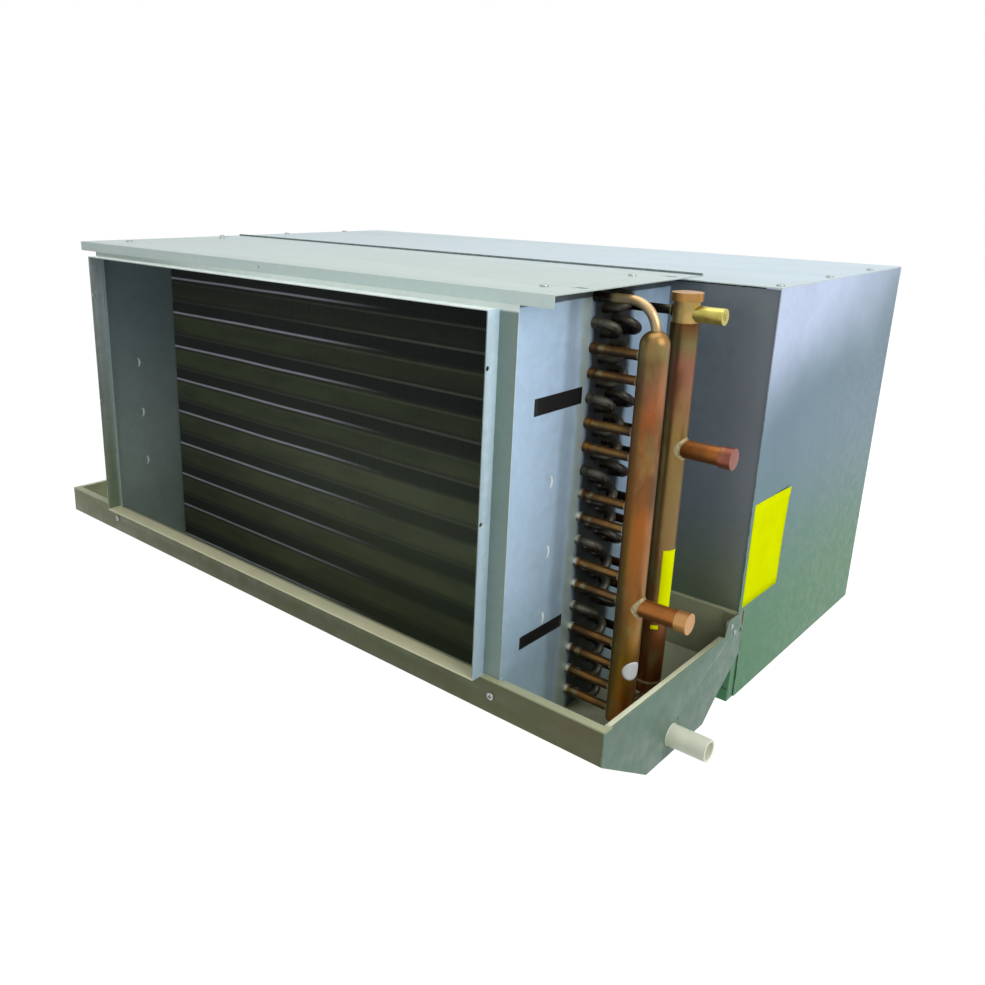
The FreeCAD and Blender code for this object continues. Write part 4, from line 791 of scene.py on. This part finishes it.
class FANCOIL_OT_finishes(bpy.types.Operator):
    """Makes every finish of the unit"""

    bl_idname = "fancoil.finishes"
    bl_label = "Finishes"

    def execute(self, context):
        sheet = context.scene.sheet_look
        metal = context.scene.copper_look
        label = context.scene.label_look
        build_groups()
        zinc("zinc_top", top_tone, stains=0.03, dust=0.0, spangle=0.06, streaks=0.08)
        zinc("zinc_flange", collar_tone, streaks=0.1, dust=0.0)
        zinc("zinc_side", side_tone, streaks=0.1, stains=0.06)
        zinc("zinc_fan_side", fan_side_tone, wear=0.8)
        zinc("zinc_deck", deck_tone, spangle=0.08)
        zinc("zinc_inner", sheet.inner)
        zinc("zinc_wall", wall_tone)
        # Painted highlight: the dimples are near white
        zinc("zinc_dimple_highlight", srgb("eef4f4"), stains=0.02)
        zinc("zinc_channel", sheet.side, dust=0.0)
        pan_coat("pan_coat", sheet.pan)
        pan_coat("pan_end_coat", sheet.pan_end, dust=0.05, marked=0.12)
        pan_coat("pan_lip_coat", sheet.pan_rim, dust=0.05, marked=0.12)
        # The strip in the collar's mouth takes the collar floor's pale khaki, lightened as painted light
        plain("mouth_coat", sheet.collar_lit_floor, roughness=0.5, scale=30.0, amount=0.03)
        fin_stock()
        copper("copper_header", front_header_tone, metal.brown, metal.olive, cover=0.42)
        copper("copper_rear_header", rear_header_tone, srgb("5c3a1c"), metal.olive, cover=0.34)
        copper("copper_stub", metal.bright, metal.brown, metal.olive, cover=0.5, bead=0.9, roots=0.9, under=0.85)
        copper("copper_rear_stub", metal.brown, metal.dark, metal.olive, cover=0.6, under=0.8)
        # The bends get painted shade below and towards the rear rows, and painted glints at the side plate
        bend_settings = {"metallic": 0.2, "roots": 0.5, "under": 0.9, "painted_shade": (-0.03, 0.03, 0.7)}
        copper("copper_bend", srgb("5e5a4a"), metal.dark, srgb("8c8c76"), cover=0.42, **bend_settings)
        copper("copper_feed", srgb("cdb083"), srgb("a8824e"), srgb("b09a62"), cover=0.45, plate_shadow=26 * MM, under=0.6)
        copper("copper_connection", srgb("a8682e"), metal.brown, srgb("a8743a"), cover=0.35, under=0.5)
        copper("copper_cap", cap_tone, srgb("9c5a36"), srgb("a87a50"), cover=0.35)
        plain("brass", srgb("c6ba62"), metallic=0.8, roughness=0.32, scale=90.0, amount=0.15)
        plain("neck_brass", srgb("b3985c"), metallic=0.75, roughness=0.35, scale=60.0, amount=0.25)
        plain("cap_brass", srgb("b4874a"), metallic=0.75, roughness=0.35, scale=60.0, amount=0.3)
        plain("braze", metal.braze, metallic=0.35, roughness=0.5, scale=220.0, amount=0.3, bump=0.0006)
        plain("drain_plastic", srgb("f2f4de"), roughness=0.42, scale=50.0, amount=0.05)
        plain("label_black", label.black, roughness=0.4, scale=60.0, amount=0.15, gloss=0.3)
        plain("label_yellow", label.yellow, roughness=0.6, scale=30.0, amount=0.04, gloss=0.0)
        plain("label_white", label.white, roughness=0.4, scale=50.0, amount=0.05)
        plain("zinc_screw", srgb("a8aca8"), metallic=0.85, roughness=0.35, scale=200.0, amount=0.15)
        plain("motor_paint", srgb("3c4046"), roughness=0.4, scale=40.0, amount=0.1, wear=0.5)
        plain("cast_aluminium", srgb("a4a8aa"), metallic=0.8, roughness=0.48, scale=160.0, amount=0.12, bump=0.0004)
        plain("core_steel", srgb("4c4a48"), metallic=0.8, roughness=0.45, scale=300.0, amount=0.2)
        plain("shaft_steel", srgb("a6a6a4"), metallic=0.95, roughness=0.22, scale=120.0, amount=0.08)
        plain("black_rubber", srgb("1a1a1b"), roughness=0.7, scale=140.0, amount=0.2)
        plain("seam_foam", srgb("8a9694"), roughness=0.8, scale=160.0, amount=0.25, gloss=0.1)
        plain("capacitor_shell", srgb("b9bcc0"), metallic=0.6, roughness=0.35, scale=60.0, amount=0.06)
        plain("filter_cloth", srgb("50545a"), roughness=0.95, scale=900.0, amount=0.5, bump=0.0008)
        plain("filter_wire", srgb("9aa0a4"), metallic=0.9, roughness=0.35, scale=100.0, amount=0.1)
        return {"FINISHED"}


# Pieces that keep the shape of the frame, by finish
KEPT_FINISHES = {
    "pan_coat": ("pan_angles",),
    "drain_plastic": ("drain_stub",),
    "zinc_channel": ("coil_top_channel",),
    "copper_bend": ("return_bends_right", "return_bends_left"),
    "copper_stub": ("front_stubs",),
    "copper_rear_stub": ("rear_stubs",),
    "copper_feed": ("feed_tubes",),
    "copper_header": ("front_header",),
    "copper_rear_header": ("rear_header",),
    "neck_brass": ("header_neck",),
    "cap_brass": ("header_cap",),
    "copper_connection": ("front_connection", "rear_connection"),
    "copper_cap": ("connection_caps",),
    "brass": ("vent_body", "vent_screw"),
    "motor_paint": ("motor_shell",),
    "core_steel": ("stator_core", "rotor_core"),
    "shaft_steel": ("motor_shaft", "motor_bearings"),
    "cast_aluminium": ("motor_end_bells", "filter_frame", "pan_rivets"),
    "black_rubber": ("motor_rubber_rings", "cable_bushing"),
    "capacitor_shell": ("run_capacitor",),
    "zinc_inner": (
        *(f"blower_{part}_{side}" for part in ("wrap", "wheel", "blades") for side in ("right", "left")),
        *(f"blower_cheek_{side}_{face}" for side in ("right", "left") for face in ("outer", "inner")),
        "coil_feet",
        "motor_cradle",
        "motor_clamps",
        "outlet_blank",
        "terminal_box",
        "return_frame",
    ),
}

# Sheets whose edges are rounded, with their finish
FOLDED_FINISHES = {
    "coil_top_panel": "zinc_top",
    "fan_top": "zinc_top",
    "coil_side_right": "zinc_side",
    "coil_side_left": "zinc_wall",
    "duct_collar": "zinc_flange",
    "fan_deck": "zinc_deck",
    "fan_side_right": "zinc_fan_side",
    "fan_side_left": "zinc_fan_side",
    "fan_bottom": "zinc_fan_side",
    "terminal_cover": "zinc_side",
    "drain_pan_tray": "pan_coat",
    "pan_end_right": "pan_end_coat",
    "pan_end_left": "pan_end_coat",
}


class FANCOIL_OT_kept_nodes(bpy.types.Operator):
    """Gives the pieces that keep their shape their finish"""

    bl_idname = "fancoil.kept_nodes"
    bl_label = "Kept pieces"

    def execute(self, context):
        for name, nodes in KEPT_FINISHES.items():
            for node in nodes:
                mesh = NODES[node].data
                mesh.materials.clear()
                mesh.materials.append(FINISHES[name])
        return {"FINISHED"}


class FANCOIL_OT_panels(bpy.types.Operator):
    """Rounds the edges and folds of the sheet metal panels"""

    bl_idname = "fancoil.panels"
    bl_label = "Sheet metal panels"

    def execute(self, context):
        radius = context.scene.sheet_look.fold_radius
        for node, name in FOLDED_FINISHES.items():
            mesh = rounded_copy(node, radius)
            slot = "pan_coating" if name.startswith("pan") else "galvanised_sheet"
            new_piece(node + "_folded", mesh, name, slot, (node,), smooth=math.radians(50))
        return {"FINISHED"}


def tube_place(row, level):
    """Height and depth of a tube; rows two and four lie half a pitch lower."""
    top = FIN_LOW.z + (TUBES_HIGH - 0.25) * TUBE_PITCH
    shift = TUBE_PITCH / 2 if row % 2 == 0 else 0
    return (row - (ROWS + 1) / 2) * ROW_PITCH, top - shift - level * TUBE_PITCH


class FANCOIL_OT_fins(bpy.types.Operator):
    """Builds the stack of corrugated fins and the tubes through it"""

    bl_idname = "fancoil.fins"
    bl_label = "Fins"

    def execute(self, context):
        look = context.scene.coil_look
        across = 2 * look.wave_count + 1
        levels = [FIN_LOW.z, *(FIN_LOW.z + (index + 0.5) * TUBE_PITCH for index in range(TUBES_HIGH)), FIN_HIGH.z]
        count = int((FIN_HIGH.x - FIN_LOW.x - look.fin_pitch) / look.fin_pitch)
        start = (FIN_LOW.x + FIN_HIGH.x - (count - 1) * look.fin_pitch) / 2
        points, faces = [], []
        for index in range(count):
            middle = start + index * look.fin_pitch
            base = len(points)
            for face in (-0.5, 0.5):
                for level in levels:
                    for column in range(across):
                        share = column / (across - 1)
                        wave = look.fin_wave * (0.5 if column % 2 else -0.5)
                        x = middle + face * look.fin_thickness + wave
                        points.append((x, FIN_LOW.y + share * (FIN_HIGH.y - FIN_LOW.y), level))
            half = across * len(levels)
            faces += [tuple(reversed(face)) for face in grid_faces(across, len(levels), start=base)]
            faces += grid_faces(across, len(levels), start=base + half)
            for first, second in ((0, across), (across - 1, across)):
                for row in range(len(levels) - 1):
                    low = base + first + row * across
                    high = low + across
                    quad = (low, low + half, high + half, high)
                    faces.append(quad if first else tuple(reversed(quad)))
        laid("coil_fins", points, faces, "fin_coat", "fin_stock", ("coil_fin_block",))
        self.tubes()
        return {"FINISHED"}

    def tubes(self):
        """The straight tubes that the fins sit on."""
        sides = 16
        points, faces = [], []
        for row in range(1, ROWS + 1):
            for level in range(TUBES_HIGH):
                depth, up = tube_place(row, level)
                base = len(points)
                for x in (FIN_LOW.x, FIN_HIGH.x):
                    points += [(x, depth + y, up + z) for y, z in circle(sides, TUBE_RADIUS)]
                faces += grid_faces(sides, 2, wrap=True, start=base)
        laid("coil_tubes", points, faces, "copper_rear_stub", "copper_tube", smooth=ROUND)


def fillet_points(root, sign, tube, barrel, width, seed):
    """Rings of points of a brazed fillet where a tube along X meets an upright barrel of a header."""
    sides, gap = 28, 0.03 * MM
    profile = ((0.0, 1.0), (0.12, 0.55), (0.38, 0.22), (0.68, 0.08), (1.0, 0.0))
    rings = []
    for spread, reach in profile:
        ring = []
        for y, z in circle(sides):
            uneven = 1 + 0.35 * noise.noise(Vector((y * 1.3, z * 1.3, seed)))
            out = tube + (spread * width + gap) * uneven
            surface = math.sqrt(max(barrel * barrel - (out * y) ** 2, 0.0)) + gap
            ring.append(root + Vector((sign * (surface + reach * width * uneven), out * y, out * z)))
        rings.append(ring)
    return sides, rings


class FANCOIL_OT_brazing(bpy.types.Operator):
    """Adds the brazed fillets where tubes meet the headers"""

    bl_idname = "fancoil.brazing"
    bl_label = "Brazed joints"

    def execute(self, context):
        width = context.scene.copper_look.braze_width
        open_levels = [level for level in range(TUBES_HIGH) if level not in LOOPED_LEVELS]
        joints = []
        for row, levels in ((1, open_levels[1:]), (ROWS, open_levels[:-1])):
            for level in levels:
                depth, up = tube_place(row, level)
                joints.append((Vector((HEADER_X, depth, up)), -1, TUBE_RADIUS, width * 0.7))
        for node in ("front_connection", "rear_connection"):
            low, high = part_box(node)
            middle = (low + high) / 2
            joints.append((Vector((HEADER_X, middle.y, middle.z)), 1, (high.z - low.z) / 2, width))
        points, faces = [], []
        for seed, (root, sign, tube, spread) in enumerate(joints):
            sides, rings = fillet_points(root, sign, tube, HEADER_RADIUS, spread, seed)
            faces += grid_faces(sides, len(rings), wrap=True, start=len(points))
            points += [point for ring in rings for point in ring]
        laid("brazed_joints", points, faces, "braze", "copper_tube", smooth=ROUNDER)
        return {"FINISHED"}


def patch(name, across, along, surface, thickness, finish_name, round_shape=False):
    """A thin label laid on a surface function of two lengths; a round one has polar rings."""
    if round_shape:
        sides, rings = 36, 5
        flat = [
            (across / 2 * ring / rings * x, along / 2 * ring / rings * y)
            for ring in range(1, rings + 1)
            for x, y in circle(sides)
        ]
        faces = grid_faces(sides, rings, wrap=True) + [tuple(range(sides))[::-1]]
    else:
        columns, rows = 15, 11
        flat = [
            (across * (column / (columns - 1) - 0.5), along * (row / (rows - 1) - 0.5))
            for row in range(rows)
            for column in range(columns)
        ]
        faces = grid_faces(columns, rows)
    mesh = mesh_of(name, [surface(u, v) for u, v in flat], faces)
    made = new_piece(name, mesh, finish_name, "galvanised_sheet", smooth=ROUND)
    shell = made.modifiers.new("thickness", "SOLIDIFY")
    shell.thickness = thickness
    shell.offset = 1


def on_side(x, y, z, curl=0.0):
    """A surface on an upright panel that looks along X, with one lifted corner."""

    gap, reach, held = 0.04 * MM, 0.05, 0.6

    def surface(u, v):
        lifted = curl * max(0.0, (u + v) / reach - held) ** 2
        return (x + gap + lifted, y + u, z + v)

    return surface


def on_header(y, z, heading):
    """A surface wrapped on a header, round its upright axis."""

    out = HEADER_RADIUS + 0.06 * MM

    def surface(u, v):
        turn = heading + u / HEADER_RADIUS
        return (HEADER_X + out * math.cos(turn), y + out * math.sin(turn), z + v)

    return surface


class FANCOIL_OT_labels(bpy.types.Operator):
    """Lays the bare labels on the side plate, the fan box and the headers"""

    bl_idname = "fancoil.labels"
    bl_label = "Labels"

    def execute(self, context):
        thick = context.scene.label_look.thickness
        plate, wall = PLATE_RIGHT, FAN_HIGH.x
        rear = -FRONT_ROW
        # Width and height in millimetres, the surface with the middle's place, and the colour
        strips = (
            ("upper_strip", 81, 17, on_side(plate, -0.0813, 0.3675), "black"),
            ("lower_strip", 75, 14, on_side(plate, -0.0865, 0.1238), "black"),
            ("fan_plate", 97, 122, on_side(wall, 0.1788, 0.1775, curl=0.8 * MM), "yellow"),
            ("header_strip", 17, 72, on_header(rear, 0.170, math.radians(-22)), "yellow"),
            ("header_chip", 8, 4.5, on_header(rear, 0.118, math.radians(-60)), "yellow"),
        )
        for name, across, along, surface, tone in strips:
            patch(name, across * MM, along * MM, surface, thick, "label_" + tone)
        dot = on_header(FRONT_ROW, 0.0885, math.radians(-25))
        patch("header_dot", 22 * MM, 21 * MM, dot, thick, "label_white", round_shape=True)
        return {"FINISHED"}


def screw_head(radius, height):
    """A pan head with a cross recess, seated on the origin and looking along Z."""
    work = bmesh.new()
    sides = 24
    profile = [(1.0, 0.0), (1.0, 0.35), (0.93, 0.68), (0.75, 0.9), (0.45, 1.0)]
    rings = [[work.verts.new((x, y, height * up)) for x, y in circle(sides, radius * out)] for out, up in profile]
    for low, high in zip(rings, rings[1:]):
        for side in range(sides):
            after = (side + 1) % sides
            work.faces.new((low[side], low[after], high[after], high[side]))
    work.faces.new(rings[-1])
    work.faces.new(list(reversed(rings[0])))
    mesh = bpy.data.meshes.new("screw_head")
    work.to_mesh(mesh)
    work.free()
    arm, deep = radius * 0.62, radius * 0.13
    outline = [
        (arm, -deep), (arm, deep), (deep, deep), (deep, arm), (-deep, arm), (-deep, deep),
        (-arm, deep), (-arm, -deep), (-deep, -deep), (-deep, -arm), (deep, -arm), (deep, -deep),
    ]
    floor = [(x * 0.7, y * 0.7, height * 0.35) for x, y in outline]
    roof = [(x, y, height * 1.2) for x, y in outline]
    count = len(outline)
    ends = [tuple(range(count))[::-1], tuple(range(count, 2 * count))]
    tool_mesh = mesh_of("cross_tool", floor + roof, grid_faces(count, 2, wrap=True) + ends)
    head = bpy.data.objects.new("screw_head", mesh)
    tool = bpy.data.objects.new("cross_tool", tool_mesh)
    for item in (head, tool):
        bpy.context.scene.collection.objects.link(item)
    carve = head.modifiers.new("cross", "BOOLEAN")
    carve.operation = "DIFFERENCE"
    carve.object = tool
    carved = bpy.data.meshes.new_from_object(head.evaluated_get(bpy.context.evaluated_depsgraph_get()))
    bpy.data.objects.remove(head)
    bpy.data.objects.remove(tool)
    return carved


def islands(node):
    """Corners of each separate solid of a node."""
    work = bmesh.new()
    work.from_mesh(NODES[node].data)
    bmesh.ops.remove_doubles(work, verts=work.verts, dist=SAME_POINT)
    waiting = set(work.verts)
    boxes = []
    while waiting:
        stack = [waiting.pop()]
        found = list(stack)
        while stack:
            for edge in stack.pop().link_edges:
                for vert in edge.verts:
                    if vert in waiting:
                        waiting.remove(vert)
                        stack.append(vert)
                        found.append(vert)
        low = Vector([min(vert.co[index] for vert in found) for index in range(3)])
        high = Vector([max(vert.co[index] for vert in found) for index in range(3)])
        boxes.append((low, high))
    work.free()
    return sorted(boxes, key=lambda box: tuple(box[0]))


class FANCOIL_OT_screws(bpy.types.Operator):
    """Puts cross recessed heads on the panel screws"""

    bl_idname = "fancoil.screws"
    bl_label = "Screws"

    def execute(self, context):
        rng = random.Random(3)
        radius, height = 4.2 * MM, 2.2 * MM
        head = screw_head(radius, height)
        work = bmesh.new()
        for low, high in islands("panel_screws"):
            size = high - low
            long_axis = max(range(3), key=lambda index: size[index])
            seat = (low + high) / 2
            seat[long_axis] = high.z - height if long_axis == 2 else low[long_axis] + height
            upright = (
                Matrix.Rotation(-math.pi / 2, 4, "Y"),
                Matrix.Rotation(math.pi / 2, 4, "X"),
                Matrix.Identity(4),
            )[long_axis]
            copy = head.copy()
            copy.transform(Matrix.Translation(seat) @ upright @ Matrix.Rotation(rng.uniform(0, math.pi), 4, "Z"))
            work.from_mesh(copy)
            bpy.data.meshes.remove(copy)
        mesh = bpy.data.meshes.new("screw_heads")
        work.to_mesh(mesh)
        work.free()
        bpy.data.meshes.remove(head)
        new_piece("screw_heads", mesh, "zinc_screw", "zinc_fastener", ("panel_screws",), smooth=math.radians(35))
        return {"FINISHED"}


class FANCOIL_OT_filter(bpy.types.Operator):
    """Pleats the filter cloth and lays its wire grid over it"""

    bl_idname = "fancoil.filter"
    bl_label = "Return air filter"

    def execute(self, context):
        low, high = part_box("filter_media")
        pleat_pitch, inset = 12 * MM, 0.6 * MM
        columns, rows = 2 * int((high.x - low.x) / pleat_pitch) + 1, 5
        folds = (low.y + inset, high.y - inset)
        points = []
        for row in range(rows):
            z = low.z + row / (rows - 1) * (high.z - low.z)
            for column in range(columns):
                share = column / (columns - 1)
                points.append((low.x + share * (high.x - low.x), folds[column % 2], z))
        mesh = mesh_of("filter_pleats", points, grid_faces(columns, rows))
        cloth = new_piece("filter_pleats", mesh, "filter_cloth", "filter_cloth", ("filter_media",))
        shell = cloth.modifiers.new("cloth", "SOLIDIFY")
        shell.thickness = 0.8 * MM
        shell.offset = 0
        self.wires(low, high)
        return {"FINISHED"}

    def wires(self, low, high):
        """A grid of round wires behind the pleats."""
        step, radius, sides = 60 * MM, 0.9 * MM, 8
        y = high.y + radius + 0.2 * MM
        points, faces = [], []

        def wire(start, end, first, second):
            """One wire, round the two directions across it."""
            base = len(points)
            for tip in (start, end):
                points.extend(tip + first * across + second * up for across, up in circle(sides, radius))
            faces.extend(grid_faces(sides, 2, wrap=True, start=base))

        def spaced(start, end):
            """Places of the wires between two ends."""
            gaps = int((end - start) / step) + 1
            return [start + index * (end - start) / gaps for index in range(1, gaps)]

        upright, along, away = Vector((0, 0, 1)), Vector((1, 0, 0)), Vector((0, 1, 0))
        for x in spaced(low.x, high.x):
            wire(Vector((x, y, low.z)), Vector((x, y, high.z)), along, away)
        crossing = y + 2 * radius
        for z in spaced(low.z, high.z):
            wire(Vector((low.x, crossing, z)), Vector((high.x, crossing, z)), upright, away)
        laid("filter_wires", points, faces, "filter_wire", "filter_cloth", smooth=ROUND)


def bar(points, faces, low, high):
    """A rounded flat bar between two corners, for strips, lips and beads."""
    work = bmesh.new()
    made = bmesh.ops.create_cube(work, size=1.0)["verts"]
    for vert in made:
        vert.co = Vector([(a + b) / 2 + part * (b - a) for a, b, part in zip(low, high, vert.co)])
    edge = min(b - a for a, b in zip(low, high)) * 0.3
    bmesh.ops.bevel(work, geom=list(work.edges), offset=edge, segments=2, profile=0.6, affect="EDGES")
    work.verts.index_update()
    start = len(points)
    points += [vert.co.copy() for vert in work.verts]
    faces += [tuple(start + vert.index for vert in face.verts) for face in work.faces]
    work.free()


class FANCOIL_OT_trims(bpy.types.Operator):
    """Lays the foam bead along the seam, the pan's end lips and the plugs of the collar"""

    bl_idname = "fancoil.trims"
    bl_label = "Trims"

    def execute(self, context):
        points, faces = [], []
        bead_wide, bead_high = 3 * MM, 2.1 * MM
        start = (PANEL_LOW.x, PANEL_HIGH.y - bead_wide, PANEL_HIGH.z)
        bar(points, faces, start, (PANEL_HIGH.x, PANEL_HIGH.y, PANEL_HIGH.z + bead_high))
        laid("seam_bead", points, faces, "seam_foam", "black_rubber", smooth=ROUND)
        points, faces = [], []
        lip_wide, lip_start, lip_end = 5.5 * MM, PAN_LOW.y + 10 * MM, 94 * MM
        for side in (1, -1):
            ends = sorted((side * (PAN_HIGH.x - lip_wide), side * PAN_HIGH.x))
            bar(points, faces, (ends[0], lip_start, PAN_RIM - SHEET), (ends[1], lip_end, PAN_RIM))
        laid("pan_end_lips", points, faces, "pan_lip_coat", "pan_coating", smooth=ROUND)
        points, faces = [], []
        floor, mouth = COLLAR_LOW.z + SHEET, COLLAR_HIGH.x - COLLAR_RIGHT_FLANGE - SHEET
        bar(points, faces, (COLLAR_WALL, COLLAR_LOW.y, floor), (mouth, COLLAR_HIGH.y, floor + 0.6 * MM))
        laid("mouth_strip", points, faces, "mouth_coat", "pan_coating", smooth=ROUND)
        self.plugs()
        return {"FINISHED"}

    def plugs(self):
        """Domed plugs in the spare holes of the collar's left wall."""
        sides, radius, inset, gap = 20, 3.1 * MM, 3 * MM, 0.05 * MM
        dome = ((1.0, 0.0), (0.8, 0.35 * MM), (0.4, 0.5 * MM))
        points, faces = [], []
        for up in (258 * MM, 408 * MM):
            start = len(points)
            for out, rise in dome:
                x, y = COLLAR_WALL + gap + rise, COLLAR_LOW.y + inset
                points += [(x, y + across, up + along) for across, along in circle(sides, radius * out)]
            faces += grid_faces(sides, 3, wrap=True, start=start)
            faces.append(tuple(range(start + 2 * sides, start + 3 * sides)))
        laid("collar_plugs", points, faces, "zinc_flange", "galvanised_sheet", smooth=ROUND)


class FANCOIL_OT_dimples(bpy.types.Operator):
    """Presses the small dimples into the coil's side plates"""

    bl_idname = "fancoil.dimples"
    bl_label = "Dimples"

    def execute(self, context):
        for name, wall, spots in (
            ("plate_dimples", PLATE_RIGHT, ((-0.086, 0.287), (-0.084, 0.212), (-0.086, 0.139))),
            ("inner_dimples", PLATE_LEFT, ((-0.101, 0.304), (-0.099, 0.228), (-0.097, 0.153))),
        ):
            points, faces = [], []
            for y, z in spots:
                self.dimple(points, faces, wall, y, z)
            laid(name, points, faces, "zinc_dimple_highlight", "galvanised_sheet", smooth=ROUNDER)
        return {"FINISHED"}

    def dimple(self, points, faces, wall, y, z):
        """A curved ridge that stands a little off the plate."""
        columns, rows = 13, 5
        wide, tall, proud, bent = 3 * MM, 13 * MM, 0.7 * MM, 2.5 * MM
        start = len(points)
        for row in range(rows):
            for column in range(columns):
                along = column / (columns - 1) - 0.5
                side = row / (rows - 1) - 0.5
                rise = math.cos(side * math.pi) * math.cos(along * math.pi) * proud
                bow = bent * (1 - 4 * along * along)
                points.append((wall + rise, y + bow + side * wide, z + along * tall))
        faces += [tuple(reversed(face)) for face in grid_faces(columns, rows, start=start)]


def seen_white(tree):
    """One for what the camera or a reflection sees, nothing for the light that falls on things."""
    path = add(tree, "ShaderNodeLightPath").outputs
    mirrored = maths(tree, "MAXIMUM", path["Is Glossy Ray"], path["Is Transmission Ray"])
    return maths(tree, "MAXIMUM", path["Is Camera Ray"], mirrored)


def lamp(name, size, power, spot, target):
    """A soft square lamp that looks at a point."""
    data = bpy.data.lights.new(name, "AREA")
    data.shape = "SQUARE"
    data.size = size
    data.energy = power
    made = bpy.data.objects.new(name, data)
    made.location = spot
    made.rotation_euler = (Vector(target) - Vector(spot)).to_track_quat("-Z", "Y").to_euler()
    bpy.context.scene.collection.objects.link(made)


class FANCOIL_OT_studio(bpy.types.Operator):
    """Sets the floor, the lamps, the world and the camera"""

    bl_idname = "fancoil.studio"
    bl_label = "Studio"

    def execute(self, context):
        look = context.scene.studio_look
        self.floor()
        self.world(look.ambient)
        middle = (0, 0.15, 0.25)
        lamp("key_lamp", 1.8, look.key, (2.4, -0.2, 1.7), middle)
        lamp("top_lamp", 2.2, look.top, (0.1, 0.3, 2.5), middle)
        self.camera(look)
        view = context.scene.view_settings
        view.view_transform = "Standard"
        return {"FINISHED"}

    def floor(self):
        """A pale floor that shows white and keeps the shadow."""
        size, share, glare = 6.0, 0.74, 1.32
        corners = [(-size, -size, 0), (size, -size, 0), (size, size, 0), (-size, size, 0)]
        mesh = mesh_of("floor", corners, [(0, 1, 2, 3)])
        made = bpy.data.objects.new("floor", mesh)
        made.location.z = -0.3 * MM
        bpy.context.scene.collection.objects.link(made)
        pale = bpy.data.materials.new("pale_floor")
        pale.use_nodes = True
        tree = pale.node_tree
        tree.nodes.clear()
        matt = add(tree, "ShaderNodeBsdfDiffuse", {"Color": (0.8, 0.8, 0.8)}).outputs[0]
        glow = add(tree, "ShaderNodeEmission", {"Color": (1, 1, 1), "Strength": glare}).outputs[0]
        seen = times(tree, seen_white(tree), share)
        both = add(tree, "ShaderNodeMixShader", {0: seen, 1: matt, 2: glow})
        output = tree.nodes.new("ShaderNodeOutputMaterial")
        tree.links.new(both.outputs[0], output.inputs[0])
        mesh.materials.append(pale)

    def world(self, level):
        """White to the camera and in reflections, a plain level of light for everything else."""
        made = bpy.data.worlds.new("studio_world")
        made.use_nodes = True
        tree = made.node_tree
        tree.nodes.clear()
        soft = add(tree, "ShaderNodeBackground", {"Color": (0.94, 0.97, 1.0), "Strength": level}).outputs[0]
        white = add(tree, "ShaderNodeBackground", {"Color": (1, 1, 1), "Strength": 1.0}).outputs[0]
        both = add(tree, "ShaderNodeMixShader", {0: seen_white(tree), 1: soft, 2: white})
        output = tree.nodes.new("ShaderNodeOutputWorld")
        tree.links.new(both.outputs[0], output.inputs[0])
        bpy.context.scene.world = made

    def camera(self, look):
        """The photograph's viewing angle, with the small shift of its framing."""
        frame_size, sensor = 985, 36
        centre = (410.5, 456.7)
        data = bpy.data.cameras.new("camera")
        data.sensor_width = sensor
        data.lens = sensor * look.focal / frame_size
        data.shift_x = 0.5 - centre[0] / frame_size
        data.shift_y = centre[1] / frame_size - 0.5
        data.clip_start = 0.05
        ahead = Vector(
            (
                math.sin(look.heading) * math.cos(look.tilt),
                math.cos(look.heading) * math.cos(look.tilt),
                math.sin(look.tilt),
            )
        )
        right = Vector((ahead.y, -ahead.x, 0)).normalized()
        upward = right.cross(ahead)
        turned = right * math.cos(look.roll) + upward * math.sin(look.roll)
        crown = upward * math.cos(look.roll) - right * math.sin(look.roll)
        made = bpy.data.objects.new("camera", data)
        made.matrix_world = Matrix.Translation(look.eye) @ Matrix((turned, crown, -ahead)).transposed().to_4x4()
        bpy.context.scene.collection.objects.link(made)
        bpy.context.scene.camera = made


class FANCOIL_PT_sidebar(bpy.types.Panel):
    """Lists the pieces in the order in which they are made"""

    bl_idname = "FANCOIL_PT_sidebar"
    bl_label = "Fan Coil"
    bl_space_type = "VIEW_3D"
    bl_region_type = "UI"
    bl_category = "Fan Coil"

    def draw(self, context):
        for operator in OPERATORS:
            self.layout.operator(operator.bl_idname)


OPERATORS = (
    FANCOIL_OT_finishes,
    FANCOIL_OT_kept_nodes,
    FANCOIL_OT_panels,
    FANCOIL_OT_fins,
    FANCOIL_OT_brazing,
    FANCOIL_OT_labels,
    FANCOIL_OT_screws,
    FANCOIL_OT_filter,
    FANCOIL_OT_trims,
    FANCOIL_OT_dimples,
    FANCOIL_OT_studio,
)
LOOKS = {
    "sheet_look": SheetLook,
    "coil_look": CoilLook,
    "copper_look": CopperLook,
    "label_look": LabelLook,
    "studio_look": StudioLook,
}


def register():
    """Adds the settings, the operators and the panel."""
    for name, look in LOOKS.items():
        bpy.utils.register_class(look)
        setattr(bpy.types.Scene, name, PointerProperty(type=look))
    for operator in OPERATORS:
        bpy.utils.register_class(operator)
    bpy.utils.register_class(FANCOIL_PT_sidebar)


def unregister():
    """Takes them away again."""
    bpy.utils.unregister_class(FANCOIL_PT_sidebar)
    for operator in reversed(OPERATORS):
        bpy.utils.unregister_class(operator)
    for name, look in LOOKS.items():
        delattr(bpy.types.Scene, name)
        bpy.utils.unregister_class(look)


def main():
    """Makes every piece in order."""
    register()
    for operator in OPERATORS:
        getattr(bpy.ops.fancoil, operator.bl_idname.split(".")[1])()


if __name__ == "__main__":
    main()
